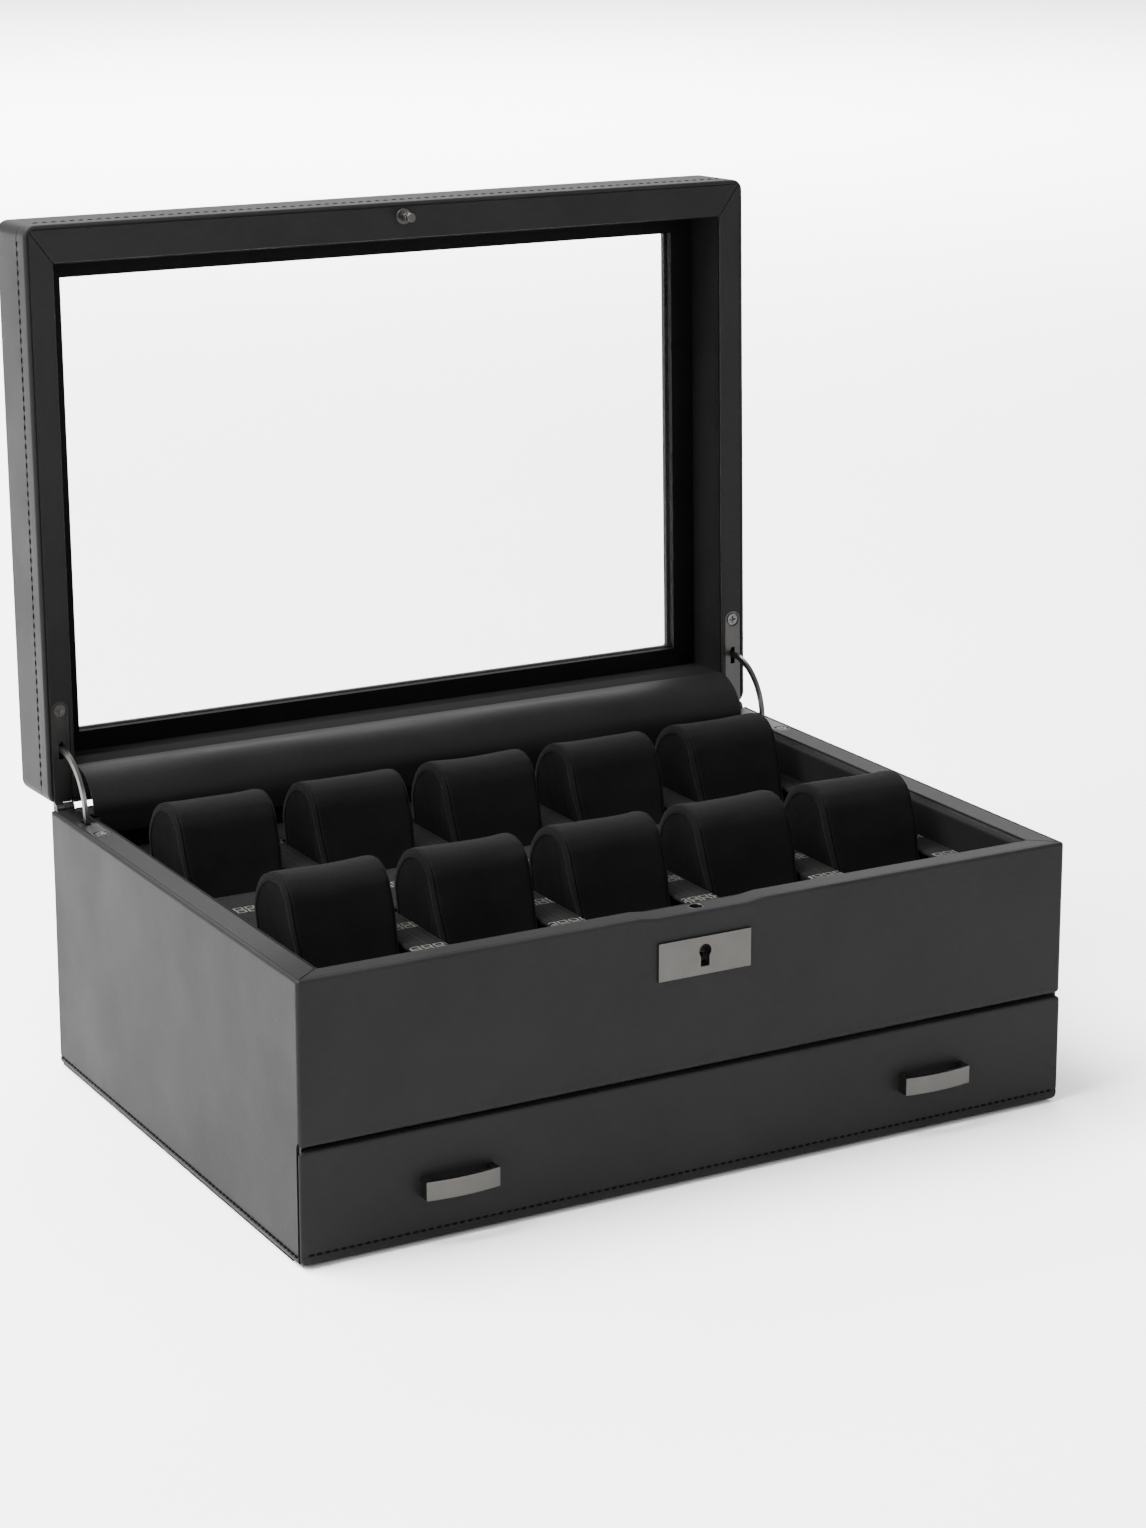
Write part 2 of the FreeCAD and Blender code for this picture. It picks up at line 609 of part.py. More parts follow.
def hinge_leaf(name, z0, z1, knuckle_x0, knuckle_x1, bore, screw_hole):
    """Right-hand hinge leaf with its knuckle, stay slot and screw hole."""
    plate = leaf_outline(f"{name}_outline", z0, z1, "Dims.leaf_end")
    root = box(
        f"{name}_root", knuckle_x0, knuckle_x1, "Dims.leaf_end", "Dims.leaf_root", z0, z1)
    barrel = rod(
        f"{name}_barrel", "x", "Dims.barrel", f"({knuckle_x1}) - ({knuckle_x0})",
        knuckle_x0, "Dims.axis_y", "Dims.axis_z")
    solid = fuse(f"{name}_solid", plate, root, barrel)
    slot = box(
        f"{name}_slot",
        "Dims.leaf_split - Dims.slot_width / 2", "Dims.leaf_split + Dims.slot_width / 2",
        "Dims.slot_front", "Dims.slot_back", f"({z0}) - 1", f"({z1}) + 1")
    bore_tool = rod(
        f"{name}_bore", "x", bore, f"({knuckle_x1}) - ({knuckle_x0}) + 2",
        f"({knuckle_x0}) - 1", "Dims.axis_y", "Dims.axis_z")
    return cut(name, solid, slot, bore_tool, screw_hole)


screw_hole_base = fuse("tool_screw_base", cone_base, shank_base)
screw_hole_lid = fuse("tool_screw_lid", cone_lid, shank_lid)

hinge_leaf_base_right = hinge_leaf(
    "hinge_leaf_base_right", LEAF_Z, RIM_Z,
    "Dims.leaf_in", "Dims.leaf_split - Dims.leaf_play", "Dims.pin", screw_hole_base)
hinge_leaf_base_left = mirrored("hinge_leaf_base_left", hinge_leaf_base_right)

base_screw = leaf_screw(
    "base_screw", cone_base, shank_base, f"{RIM_Z} - Dims.cross_depth", f"{RIM_Z} + 1")
base_hinge_screws = group(
    "base_hinge_screws", base_screw, mirrored("base_screw_left", base_screw))

pin_right = rod(
    "pin_right", "x", "Dims.pin", "Dims.leaf_out - Dims.leaf_in + 2 * Dims.leaf_play",
    "Dims.leaf_in - Dims.leaf_play", "Dims.axis_y", "Dims.axis_z")
hinge_pins = group("hinge_pins", pin_right, mirrored("pin_left", pin_right))

# ---------------------------------------------------------------- lock

bush_outer = rod(
    "bush_outer", "z", "Dims.bush", "Dims.bush_length",
    "0", "Dims.stud_y", f"{BUSH_TOP} - Dims.bush_length")
latch_bush = cut("latch_bush", bush_outer, latch_bore)

lock_plate = box(
    "lock_plate", "-Dims.lock_half", "Dims.lock_half",
    f"{neg(FASCIA_Y)} - Dims.lock_plate", neg(FASCIA_Y), "Dims.lock_low", "Dims.lock_high")
lock_post = rod(
    "lock_post", "y", "Dims.post", f"Dims.post_end - {FASCIA_Y}",
    "0", "-Dims.post_end", "Dims.lock_z")
lock_case = fuse("lock_case", lock_plate, lock_post)

plate_raw = box(
    "plate_raw", "-Dims.plate_half", "Dims.plate_half",
    f"{neg(OUT_Y)} - Dims.plate_thick", neg(OUT_Y), "Dims.plate_low", "Dims.plate_high")
escutcheon = cut("escutcheon", plate_raw, keyhole)

tumbler_disc = rod(
    "tumbler_disc", "y", "Dims.tumbler", "Dims.tumbler_front - Dims.tumbler_back",
    "0", "-Dims.tumbler_front", "Dims.lock_z")
tumbler_bore = rod(
    "tumbler_bore", "y", "Dims.post + Dims.post_play", "4",
    "0", "-Dims.tumbler_front - 1", "Dims.lock_z")
tumbler_keyway = box(
    "tumbler_keyway", "-Dims.keyway / 2", "Dims.keyway / 2",
    "-Dims.tumbler_front - 1", "-Dims.tumbler_back + 1",
    "Dims.lock_z - Dims.keyway_low", "Dims.lock_z - Dims.keyway_high")
drive_pin = rod(
    "drive_pin", "y", "Dims.drive_pin", "Dims.tumbler_back - Dims.drive_end + 0.5",
    "Dims.crank", "-Dims.tumbler_back - 0.5", "Dims.lock_z + Dims.crank")
tumbler_cut = cut("tumbler_cut", tumbler_disc, tumbler_bore, tumbler_keyway)
lock_tumbler = fuse("lock_tumbler", tumbler_cut, drive_pin)

bolt_body = box(
    "bolt_body", "Dims.bolt_left", "Dims.bolt_right", "-Dims.bolt_front", "-Dims.bolt_back",
    "Dims.bolt_low", "Dims.bolt_body")
bolt_riser = box(
    "bolt_riser", "Dims.riser_left", "Dims.bolt_right", "-Dims.bolt_front", "-Dims.bolt_back",
    "Dims.bolt_body", "Dims.tongue_high")
bolt_tongue = box(
    "bolt_tongue", "Dims.tongue_tip", "Dims.riser_left", "-Dims.bolt_front", "-Dims.bolt_back",
    "Dims.tongue_low", "Dims.tongue_high")
bolt_slot = box(
    "bolt_slot",
    "Dims.crank - Dims.drive_slot / 2", "Dims.crank + Dims.drive_slot / 2",
    "-Dims.bolt_front - 1", "-Dims.bolt_back + 1", "Dims.bolt_low - 1", "Dims.drive_slot_high")
lock_bolt = cut("lock_bolt", fuse("bolt_solid", bolt_body, bolt_riser, bolt_tongue), bolt_slot)

# ---------------------------------------------------------------- drawer

FRONT_END = f"({SKIN_X} - Dims.gap)"
drawer_front_raw = wedge(
    "drawer_front_raw",
    (neg(FRONT_END), FRONT_END),
    (f"{neg(FRONT_END)} + Dims.front_board", f"{FRONT_END} - Dims.front_board"),
    neg(SKIN_Y), neg(FASCIA_Y), "Dims.drawer_low", "Dims.drawer_high")
drawer_leather_raw = box(
    "drawer_leather_raw", neg(OUT_X), OUT_X, neg(OUT_Y), neg(SKIN_Y),
    "Dims.drawer_low", "Dims.drawer_high")

HANDLE_HALF = "Dims.handle_length / 2"
HANDLE_FRONT = f"({neg(OUT_Y)} - Dims.handle_reach)"
bow_z0 = "Dims.handle_z - Dims.handle_height / 2"
bow_z1 = "Dims.handle_z + Dims.handle_height / 2"
bow_block = box(
    "bow_block", f"Dims.handle_x - {HANDLE_HALF}", f"Dims.handle_x + {HANDLE_HALF}",
    HANDLE_FRONT, neg(OUT_Y), bow_z0, bow_z1)
bow_outer = rod(
    "bow_outer", "z", "Dims.handle_bow", "Dims.handle_height",
    "Dims.handle_x", f"{HANDLE_FRONT} + Dims.handle_bow", bow_z0)
gap_block = box(
    "gap_block",
    f"Dims.handle_x - {HANDLE_HALF} + Dims.handle_leg",
    f"Dims.handle_x + {HANDLE_HALF} - Dims.handle_leg",
    HANDLE_FRONT, f"{neg(OUT_Y)} + 1", f"{bow_z0} - 1", f"{bow_z1} + 1")
gap_inner = rod(
    "gap_inner", "z", "Dims.handle_bow - Dims.handle_strip", "Dims.handle_height + 2",
    "Dims.handle_x", f"{HANDLE_FRONT} + Dims.handle_bow", f"{bow_z0} - 1")
handle_solid = common("handle_solid", bow_block, bow_outer)
handle_gap = common("handle_gap", gap_block, gap_inner)

screw_shanks = []
screw_bodies = []
for side in (-1, 1):
    screw_x = f"Dims.handle_x + {side} * ({HANDLE_HALF} - Dims.handle_leg / 2)"
    shank = rod(
        "handle_shank", "y", "Dims.handle_screw", f"Dims.handle_screw_end - {FASCIA_Y}",
        screw_x, "-Dims.handle_screw_end", "Dims.handle_z")
    head = rod(
        "handle_screw_head", "y", "Dims.handle_screw_head", "Dims.handle_head_thick",
        screw_x, neg(FASCIA_Y), "Dims.handle_z")
    screw_shanks.append(shank)
    screw_bodies.append(fuse("handle_screw_right", shank, head))
shanks_right = group("tool_shanks_right", *screw_shanks)
shanks_left = mirrored("tool_shanks_left", shanks_right)
screws_right = group("screws_right", *screw_bodies)
handle_screws = group("handle_screws", screws_right, mirrored("screws_left", screws_right))

handle_right = cut("handle_right", handle_solid, handle_gap, shanks_right)
handle_left = mirrored("handle_left", handle_right)
drawer_front_board = cut("drawer_front_board", drawer_front_raw, shanks_right, shanks_left)
drawer_front_leather = cut(
    "drawer_front_leather", drawer_leather_raw, shanks_right, shanks_left)

drawer_side_right = box(
    "drawer_side_right", "Dims.drawer_side_in", "Dims.drawer_side_out",
    neg(FASCIA_Y), "Dims.drawer_back_out", "Dims.drawer_floor_low", "Dims.drawer_wall_high")
drawer_sides = group(
    "drawer_sides", drawer_side_right, mirrored("drawer_side_left", drawer_side_right))
FLOOR_TOP = "(Dims.drawer_floor_low + Dims.drawer_floor)"
drawer_back = box(
    "drawer_back", "-Dims.drawer_side_in", "Dims.drawer_side_in",
    "Dims.drawer_back_in", "Dims.drawer_back_out", "Dims.drawer_floor_low",
    "Dims.drawer_wall_high")
drawer_bottom = box(
    "drawer_bottom", "-Dims.drawer_side_in", "Dims.drawer_side_in",
    neg(FASCIA_Y), "Dims.drawer_back_in", "Dims.drawer_floor_low", FLOOR_TOP)
drawer_lining = box(
    "drawer_lining", "-Dims.drawer_side_in", "Dims.drawer_side_in",
    neg(FASCIA_Y), "Dims.drawer_back_in", FLOOR_TOP, f"{FLOOR_TOP} + Dims.felt")

# ---------------------------------------------------------------- lid

LEDGE_X = "(Dims.glass_edge + Dims.glass_play)"
LEDGE_FRONT = "(Dims.glass_front + Dims.glass_play)"
LEDGE_BACK = "(Dims.glass_back + Dims.glass_play)"
lid_core = rounded_block(
    "lid_core", SKIN_X, SKIN_Y, LID_WOOD_Z, LID_SKIN_Z, dim("lid_corner") - dim("leather"))
lid_outline = rounded_block(
    "lid_outline", OUT_X, OUT_Y, LID_Z, LID_TOP, dim("lid_corner"))

rail_right_solid = fuse(
    "rail_right_solid",
    box("rail_right_body", "Dims.lid_side_in", SKIN_X, neg(SKIN_Y), SKIN_Y,
        LID_WOOD_Z, LID_SKIN_Z),
    box("rail_right_ledge", LEDGE_X, "Dims.lid_side_in", neg(LEDGE_FRONT), LEDGE_BACK,
        GLASS_Z, LIP_Z),
    box("rail_right_lip", "Dims.window_x", "Dims.lid_side_in", "-Dims.window_front",
        "Dims.window_back", LIP_Z, LID_SKIN_Z))
rail_right_round = common("rail_right_round", rail_right_solid, lid_core)
rail_right_cut = cut(
    "rail_right_cut", rail_right_round, leaf_bed_lid, knuckle_cut, mortise, shank_lid)
lid_right_rail = opened("lid_right_rail", rail_right_cut)
lid_left_rail = opened("lid_left_rail", mirrored("rail_left_cut", rail_right_cut))


def end_rail(name, sign, body_in, ledge, window):
    """Front (sign -1) or rear (sign 1) rail between the side rails."""
    def span(a, b):
        return (a, b) if sign > 0 else (neg(b), neg(a))
    side = "Dims.lid_side_in"
    y0, y1 = span(body_in, SKIN_Y)
    body = box(f"{name}_body", neg(side), side, y0, y1, LID_WOOD_Z, LID_SKIN_Z)
    y0, y1 = span(ledge, body_in)
    shelf = box(f"{name}_ledge", neg(side), side, y0, y1, GLASS_Z, LID_SKIN_Z)
    y0, y1 = span(window, ledge)
    lip = box(f"{name}_lip", neg(side), side, y0, y1, LIP_Z, LID_SKIN_Z)
    return fuse(name, body, shelf, lip)


stud_tail_tool = rod(
    "tool_stud_tail", "z", "Dims.stud_tail", f"Dims.stud_top - {LID_Z} + 1",
    "0", "Dims.stud_y", f"{LID_Z} - 1")
rail_front_solid = end_rail(
    "rail_front_solid", -1, "Dims.lid_front_in", LEDGE_FRONT, "Dims.window_front")
rail_rear_solid = end_rail(
    "rail_rear_solid", 1, "Dims.rear_inner", LEDGE_BACK, "Dims.window_back")
lid_front_rail = opened(
    "lid_front_rail", cut("rail_front_cut", rail_front_solid, stud_tail_tool))
lid_rear_rail = opened("lid_rear_rail", rail_rear_solid)

wrap_solid = common(
    "wrap_solid", lid_outline,
    box("wrap_slab", neg(OUT_X), OUT_X, neg(OUT_Y), OUT_Y, LID_WOOD_Z, LID_SKIN_Z))
wrap_ring = cut(
    "wrap_ring", wrap_solid, lid_core,
    leaf_bed_lid, leaf_tools_left["bed_lid"], knuckle_cut, leaf_tools_left["knuckle"])
lid_leather_wrap = opened("lid_leather_wrap", wrap_ring)

lid_strip_front = wedge(
    "lid_strip_front",
    (neg(OUT_X), OUT_X), ("-Dims.lid_side_in", "Dims.lid_side_in"),
    neg(OUT_Y), "-Dims.lid_front_in", LID_Z, LID_WOOD_Z)
lid_strip_rear = wedge(
    "lid_strip_rear",
    ("-Dims.lid_side_in", "Dims.lid_side_in"), (neg(OUT_X), OUT_X),
    "Dims.rear_inner", OUT_Y, LID_Z, LID_WOOD_Z)
lid_strip_right = side_strip(
    "lid_strip_right", "Dims.lid_side_in", OUT_X, "Dims.lid_front_in", "Dims.rear_inner",
    OUT_Y, LID_Z, LID_WOOD_Z)
strips = []
for strip, tools in (
        (lid_strip_front, [stud_tail_tool]),
        (lid_strip_rear, [leaf_bed_lid, leaf_tools_left["bed_lid"],
                          knuckle_cut, leaf_tools_left["knuckle"]]),
        (lid_strip_right, [leaf_bed_lid, knuckle_cut])):
    rounded = common(f"{strip.Name}_round", strip, lid_outline)
    strips.append(cut(f"{strip.Name}_cut", rounded, *tools))
strips.append(mirrored("lid_strip_left_cut", strips[-1]))
lid_rim_strips = opened("lid_rim_strips", group("lid_strips", *strips))

top_slab = box(
    "top_slab", neg(OUT_X), OUT_X, neg(OUT_Y), OUT_Y, LID_SKIN_Z, LID_TOP)
window = box(
    "tool_window", "-Dims.window_x", "Dims.window_x", "-Dims.window_front",
    "Dims.window_back", BEAD_Z, f"{LID_TOP} + 1")
top_ring = cut("top_ring", common("top_round", top_slab, lid_outline), window)
lid_top_leather = opened("lid_top_leather", top_ring)

glass_pane = opened("glass_pane", box(
    "pane", "-Dims.glass_edge", "Dims.glass_edge", "-Dims.glass_front", "Dims.glass_back",
    GLASS_Z, LIP_Z))
bead_slab = box(
    "bead_slab", "-Dims.lid_side_in", "Dims.lid_side_in", "-Dims.lid_front_in",
    "Dims.rear_inner", BEAD_Z, GLASS_Z)
glass_bead = opened("glass_bead", cut("bead_ring", bead_slab, window))

STUD_COLLAR = f"({LID_Z} - Dims.washer_thick)"
stud_solid = fuse(
    "stud_solid",
    rod("stud_tip", "z", "Dims.stud", "Dims.groove_low - Dims.stud_low",
        "0", "Dims.stud_y", "Dims.stud_low"),
    rod("stud_neck", "z", "Dims.stud_neck", "Dims.groove_high - Dims.groove_low",
        "0", "Dims.stud_y", "Dims.groove_low"),
    rod("stud_shaft", "z", "Dims.stud", f"{STUD_COLLAR} - Dims.groove_high",
        "0", "Dims.stud_y", "Dims.groove_high"),
    rod("stud_tail", "z", "Dims.stud_tail", f"Dims.stud_top - {STUD_COLLAR}",
        "0", "Dims.stud_y", STUD_COLLAR))
catch_stud = opened("catch_stud", stud_solid)
washer_disc = rod(
    "washer_disc", "z", "Dims.washer", "Dims.washer_thick", "0", "Dims.stud_y", STUD_COLLAR)
washer_hole = rod(
    "washer_hole", "z", "Dims.stud_tail", "4", "0", "Dims.stud_y", f"{STUD_COLLAR} - 1")
stud_washer = opened("stud_washer", cut("washer_ring", washer_disc, washer_hole))

leaf_lid_shut = hinge_leaf(
    "leaf_lid_shut", LID_Z, f"{LID_Z} + Dims.leaf_thick",
    "Dims.leaf_split + Dims.leaf_play", "Dims.leaf_out",
    "Dims.pin + Dims.pin_play", screw_hole_lid)
hinge_leaf_lid_right = opened("hinge_leaf_lid_right", leaf_lid_shut)
hinge_leaf_lid_left = opened(
    "hinge_leaf_lid_left", mirrored("leaf_lid_shut_left", leaf_lid_shut))
lid_screw = leaf_screw(
    "lid_screw", cone_lid, shank_lid, f"{LID_Z} - 1", f"{LID_Z} + Dims.cross_depth")
lid_hinge_screws = opened(
    "lid_hinge_screws", group("lid_screws", lid_screw, mirrored("lid_screw_left", lid_screw)))

# ---------------------------------------------------------------- stays and flap

UPRIGHT_TO_X = FreeCAD.Rotation(V(1, 1, 1), 120)


def sector(name, radius, start, sweep, x0, x1):
    """Disc sector about the hinge axis; angles run from the front (-Y) upwards."""
    obj = doc.addObject("Part::Cylinder", name)
    turn = FreeCAD.Rotation(X_AXIS, 180 - start - sweep) * UPRIGHT_TO_X
    obj.Placement = FreeCAD.Placement(V(), turn)
    bind(obj, [
        ("Radius", radius),
        ("Height", f"({x1}) - ({x0})"),
        ("Angle", str(sweep)),
        ("Placement.Base.x", x0),
        ("Placement.Base.y", "Dims.axis_y"),
        ("Placement.Base.z", "Dims.axis_z"),
    ])
    return obj


stay_start = -dim("stay_overrun")
stay_sweep = dim("lid_open_angle") + 2 * dim("stay_overrun")
stay_x0 = "Dims.leaf_split - Dims.stay_thick / 2"
stay_x1 = "Dims.leaf_split + Dims.stay_thick / 2"
stay_band = cut(
    "stay_band",
    sector("stay_disc", "Dims.stay_outer", stay_start, stay_sweep, stay_x0, stay_x1),
    sector("stay_core", "Dims.stay_inner", stay_start - 1, stay_sweep + 2, stay_x0, stay_x1))
stops = []
for angle in (-dim("stop_angle"), dim("lid_open_angle") + dim("stop_angle")):
    cosine = math.cos(math.radians(angle))
    sine = math.sin(math.radians(angle))
    middle = "(Dims.stay_inner + Dims.stay_outer) / 2"
    stops.append(rod(
        "stay_stop", "x", "Dims.stop_radius", "Dims.stop_length",
        "Dims.leaf_split - Dims.stop_length / 2",
        f"Dims.axis_y - {middle} * {cosine:.6f}",
        f"Dims.axis_z + {middle} * {sine:.6f}"))
stay_arm_right = fuse("stay_arm_right", stay_band, *stops)
stay_arm_left = mirrored("stay_arm_left", stay_arm_right)

FLAP_IN = "(Dims.axis_y - Dims.rear_inner)"
FLAP_OUT = f"({FLAP_IN} + Dims.flap_thick)"
flap_arc = cut(
    "flap_arc",
    sector("flap_disc", FLAP_OUT, 0, dim("lid_open_angle"), "-Dims.flap_half",
           "Dims.flap_half"),
    sector("flap_core", FLAP_IN, -1, dim("lid_open_angle") + 2, "-Dims.flap_half",
           "Dims.flap_half"))
flap_base_edge = box(
    "flap_base_edge", "-Dims.flap_half", "Dims.flap_half",
    "Dims.rear_inner - Dims.flap_thick", "Dims.rear_inner", "Dims.flap_low", "Dims.axis_z")
flap_lid_edge = opened("flap_lid_edge", box(
    "flap_lid_edge_shut", "-Dims.flap_half", "Dims.flap_half",
    "Dims.rear_inner - Dims.flap_thick", "Dims.rear_inner", "Dims.axis_z", "Dims.flap_high"))
spine_flap = fuse("spine_flap", flap_arc, flap_base_edge, flap_lid_edge)

# ---------------------------------------------------------------- cushions


def cushion(name, column, row_y):
    """Teardrop cushion: round crown, upright rear face, sloping front face."""
    body = doc.addObject("PartDesign::Body", name)
    origin_planes = {f.Role: f for f in body.Origin.OriginFeatures}
    profile = body.newObject("Sketcher::SketchObject", f"{name}_profile")
    profile.AttachmentSupport = [(origin_planes["YZ_Plane"], "")]
    profile.MapMode = "FlatFace"

    low = dim("cushion_low")
    half = dim("cushion_half")
    crown = dim("cushion_crown")
    centre_y = half - crown
    centre_z = dim("crown_high")
    # Where the sloping front face touches the crown.
    dy = -half - centre_y
    dz = low - centre_z
    reach = math.hypot(dy, dz)
    touch = math.atan2(dz, dy) - math.acos(crown / reach) + 2 * math.pi
    front_y = centre_y + crown * math.cos(touch)
    front_z = centre_z + crown * math.sin(touch)

    front_low = V(-half, low, 0)
    rear_low = V(half, low, 0)
    rear_high = V(half, centre_z, 0)
    front_high = V(front_y, front_z, 0)
    bottom = profile.addGeometry(Part.LineSegment(front_low, rear_low), False)
    rear = profile.addGeometry(Part.LineSegment(rear_low, rear_high), False)
    arc = profile.addGeometry(Part.ArcOfCircle(
        Part.Circle(V(centre_y, centre_z, 0), Z_AXIS, crown), 0, touch), False)
    front = profile.addGeometry(Part.LineSegment(front_high, front_low), False)

    START, END, CENTRE = 1, 2, 3
    add = profile.addConstraint
    rule = Sketcher.Constraint
    add(rule("Coincident", bottom, END, rear, START))
    add(rule("Coincident", front, END, bottom, START))
    add(rule("Tangent", rear, END, arc, START))
    add(rule("Tangent", arc, END, front, START))
    add(rule("Horizontal", bottom))
    add(rule("Vertical", rear))
    sizes = (
        (rule("Radius", arc, crown), "crown", "Dims.cushion_crown"),
        (rule("DistanceX", -1, 1, bottom, END, half), "rear", "Dims.cushion_half"),
        (rule("DistanceX", bottom, START, -1, 1, half), "front", "Dims.cushion_half"),
        (rule("DistanceY", -1, 1, bottom, START, low), "low", "Dims.cushion_low"),
        (rule("DistanceY", -1, 1, arc, CENTRE, centre_z), "high", "Dims.crown_high"),
    )
    for constraint, label, expression in sizes:
        index = add(constraint)
        profile.renameConstraint(index, label)
        profile.setExpression(f"Constraints.{label}", expression)

    pad = body.newObject("PartDesign::Pad", f"{name}_pad")
    pad.Profile = profile
    pad.setExpression("Length", "Dims.cushion_width")
    pad.Midplane = True
    doc.recompute()

    rounding = body.newObject("PartDesign::Fillet", f"{name}_rounding")
    ends = []
    for index, edge in enumerate(pad.Shape.Edges, start=1):
        middle = edge.valueAt((edge.FirstParameter + edge.LastParameter) / 2)
        if abs(abs(middle.x) - dim("cushion_width") / 2) < 0.01:
            ends.append(f"Edge{index}")
    rounding.Base = (pad, ends)
    rounding.setExpression("Radius", "Dims.cushion_round")
    body.Tip = rounding
    body.setExpression("Placement.Base.x", column_x(column))
    body.setExpression("Placement.Base.y", row_y)
    return body


for row_name, row_y in ROWS:
    for number, column in enumerate(COLUMNS, start=1):
        cushion(f"cushion_{row_name}_{number}", column, row_y)

# ---------------------------------------------------------------- export

NODES = [
    "base_felt", "bottom_board", "left_side_panel", "right_side_panel", "back_panel",
    "front_fascia_board", "shelf_board", "case_leather_front", "case_leather_sides",
    "case_leather_back", "base_rim_strips", "case_linings", "tray_rails", "tray_dividers",
    "tray_lining", "hinge_leaf_base_left", "hinge_leaf_base_right", "base_hinge_screws",
    "hinge_pins", "latch_bush", "lock_case", "escutcheon",
    "lid_left_rail", "lid_right_rail", "lid_front_rail", "lid_rear_rail",
    "lid_leather_wrap", "lid_rim_strips", "lid_top_leather", "glass_pane", "glass_bead",
    "catch_stud", "stud_washer", "hinge_leaf_lid_left", "hinge_leaf_lid_right",
    "lid_hinge_screws", "spine_flap", "stay_arm_left", "stay_arm_right",
    "drawer_front_board", "drawer_front_leather", "drawer_sides", "drawer_back",
    "drawer_bottom", "drawer_lining", "handle_left", "handle_right", "handle_screws",
    "lock_tumbler", "lock_bolt",
]
for row_name, _ in ROWS:
    for number in range(1, len(COLUMNS) + 1):
        NODES.append(f"cushion_{row_name}_{number}")

doc.recompute()
for obj in doc.Objects:
    if "Invalid" in obj.State or "Error" in obj.State:
        raise RuntimeError(f"{obj.Name} did not recompute")

os.makedirs("parts", exist_ok=True)
for node in NODES:
    obj = doc.getObjectsByLabel(node)[0]
    shape = obj.Shape
    if shape.isNull() or not shape.isValid():
        raise RuntimeError(f"{node} has no valid shape")
    if not shape.Solids:
        raise RuntimeError(f"{node} has no solid")
    shape.exportStep(f"parts/{node}.step")
    bounds = shape.BoundBox
    print(
        f"{node}: {len(shape.Solids)} solid(s), {shape.Volume:.0f} mm3, "
        f"x {bounds.XMin:.1f}..{bounds.XMax:.1f} y {bounds.YMin:.1f}..{bounds.YMax:.1f} "
        f"z {bounds.ZMin:.1f}..{bounds.ZMax:.1f}")
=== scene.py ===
"""Looks of the watch box: leather case, glazed lid, drawer, tray and ten cushions."""

import math

import bmesh
import bpy
from mathutils import Matrix, Vector, noise


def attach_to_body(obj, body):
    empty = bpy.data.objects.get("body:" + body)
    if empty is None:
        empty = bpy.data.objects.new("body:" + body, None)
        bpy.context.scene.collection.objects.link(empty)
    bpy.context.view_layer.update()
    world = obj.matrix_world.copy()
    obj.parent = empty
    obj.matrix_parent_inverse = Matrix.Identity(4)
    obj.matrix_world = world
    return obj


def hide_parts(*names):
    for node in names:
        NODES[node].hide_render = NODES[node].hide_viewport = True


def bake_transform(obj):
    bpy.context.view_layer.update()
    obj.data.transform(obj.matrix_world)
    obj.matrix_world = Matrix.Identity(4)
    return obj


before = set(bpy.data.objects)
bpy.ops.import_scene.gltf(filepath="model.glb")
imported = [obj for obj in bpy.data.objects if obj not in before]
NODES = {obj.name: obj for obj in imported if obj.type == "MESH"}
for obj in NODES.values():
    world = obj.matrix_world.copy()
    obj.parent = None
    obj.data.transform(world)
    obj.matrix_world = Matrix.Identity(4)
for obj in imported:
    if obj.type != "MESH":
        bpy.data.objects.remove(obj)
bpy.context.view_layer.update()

MM = 0.001

# Outer faces and levels of the case in millimetres.
OUT_X, OUT_Y = 172.5, 122.0
RIM_Z, BOARD_Z, FASCIA_Z = 112.5, 111.3, 47.8
WALL_X, FASCIA_Y, REAR_Y = 160.5, 112.0, 110.0
LID_Z, LID_TOP = 113.0, 146.0
# Edges behind this line are the hinge side; the lid's round corners start at CORNER_X.
HINGE_SIDE_Y, CORNER_X = 118, 168
LID_IN_X, LID_IN_FRONT, LID_IN_REAR = 160.2, -106.0, 107.0
WINDOW_X, WINDOW_FRONT, WINDOW_REAR = 148.5, -97.0, 98.0
# Wells of the tray: their middles, half sizes and the cloth's level.
WELLS_X = [61 * c for c in (-2, -1, 0, 1, 2)]
WELLS_Y = [-49, 57]
WELL_HALF_X, WELL_HALF_Y, TRAY_Z = 22.5, 30, 96.5
# Sewing rows stand a little below the leather's face.
X_SEW, Y_SEW = OUT_X - 0.2, OUT_Y - 0.2
# The leaves' middle line and their screws, from the case's middle.
LEAF_X, SCREW_Y = 166, 81.7
LATCH_Y = -115.6
HINGE = Vector((0, 123.5, 112.75))
OPEN = Matrix.Rotation(math.radians(-91.6), 3, "X")


def opened(point):
    """Place of a lid point once the lid, drawn shut, is turned open."""
    return OPEN @ (Vector(point) - HINGE) + HINGE


# ------------------------------------------------------------------- materials

def tree_of(name):
    mat = bpy.data.materials.new(name)
    mat.use_nodes = True
    tree = mat.node_tree
    shader = next(n for n in tree.nodes if n.type == "BSDF_PRINCIPLED")
    return mat, tree, shader


def coords(tree, stretch=(1, 1, 1)):
    """Object coordinates, stretched per axis."""
    source = tree.nodes.new("ShaderNodeTexCoord")
    mapping = tree.nodes.new("ShaderNodeMapping")
    mapping.inputs["Scale"].default_value = stretch
    tree.links.new(source.outputs["Object"], mapping.inputs["Vector"])
    return mapping.outputs["Vector"]


def noise_of(tree, vector, scale, detail=3.0, rough=0.55):
    node = tree.nodes.new("ShaderNodeTexNoise")
    node.inputs["Scale"].default_value = scale
    node.inputs["Detail"].default_value = detail
    node.inputs["Roughness"].default_value = rough
    tree.links.new(vector, node.inputs["Vector"])
    return node.outputs["Fac"]


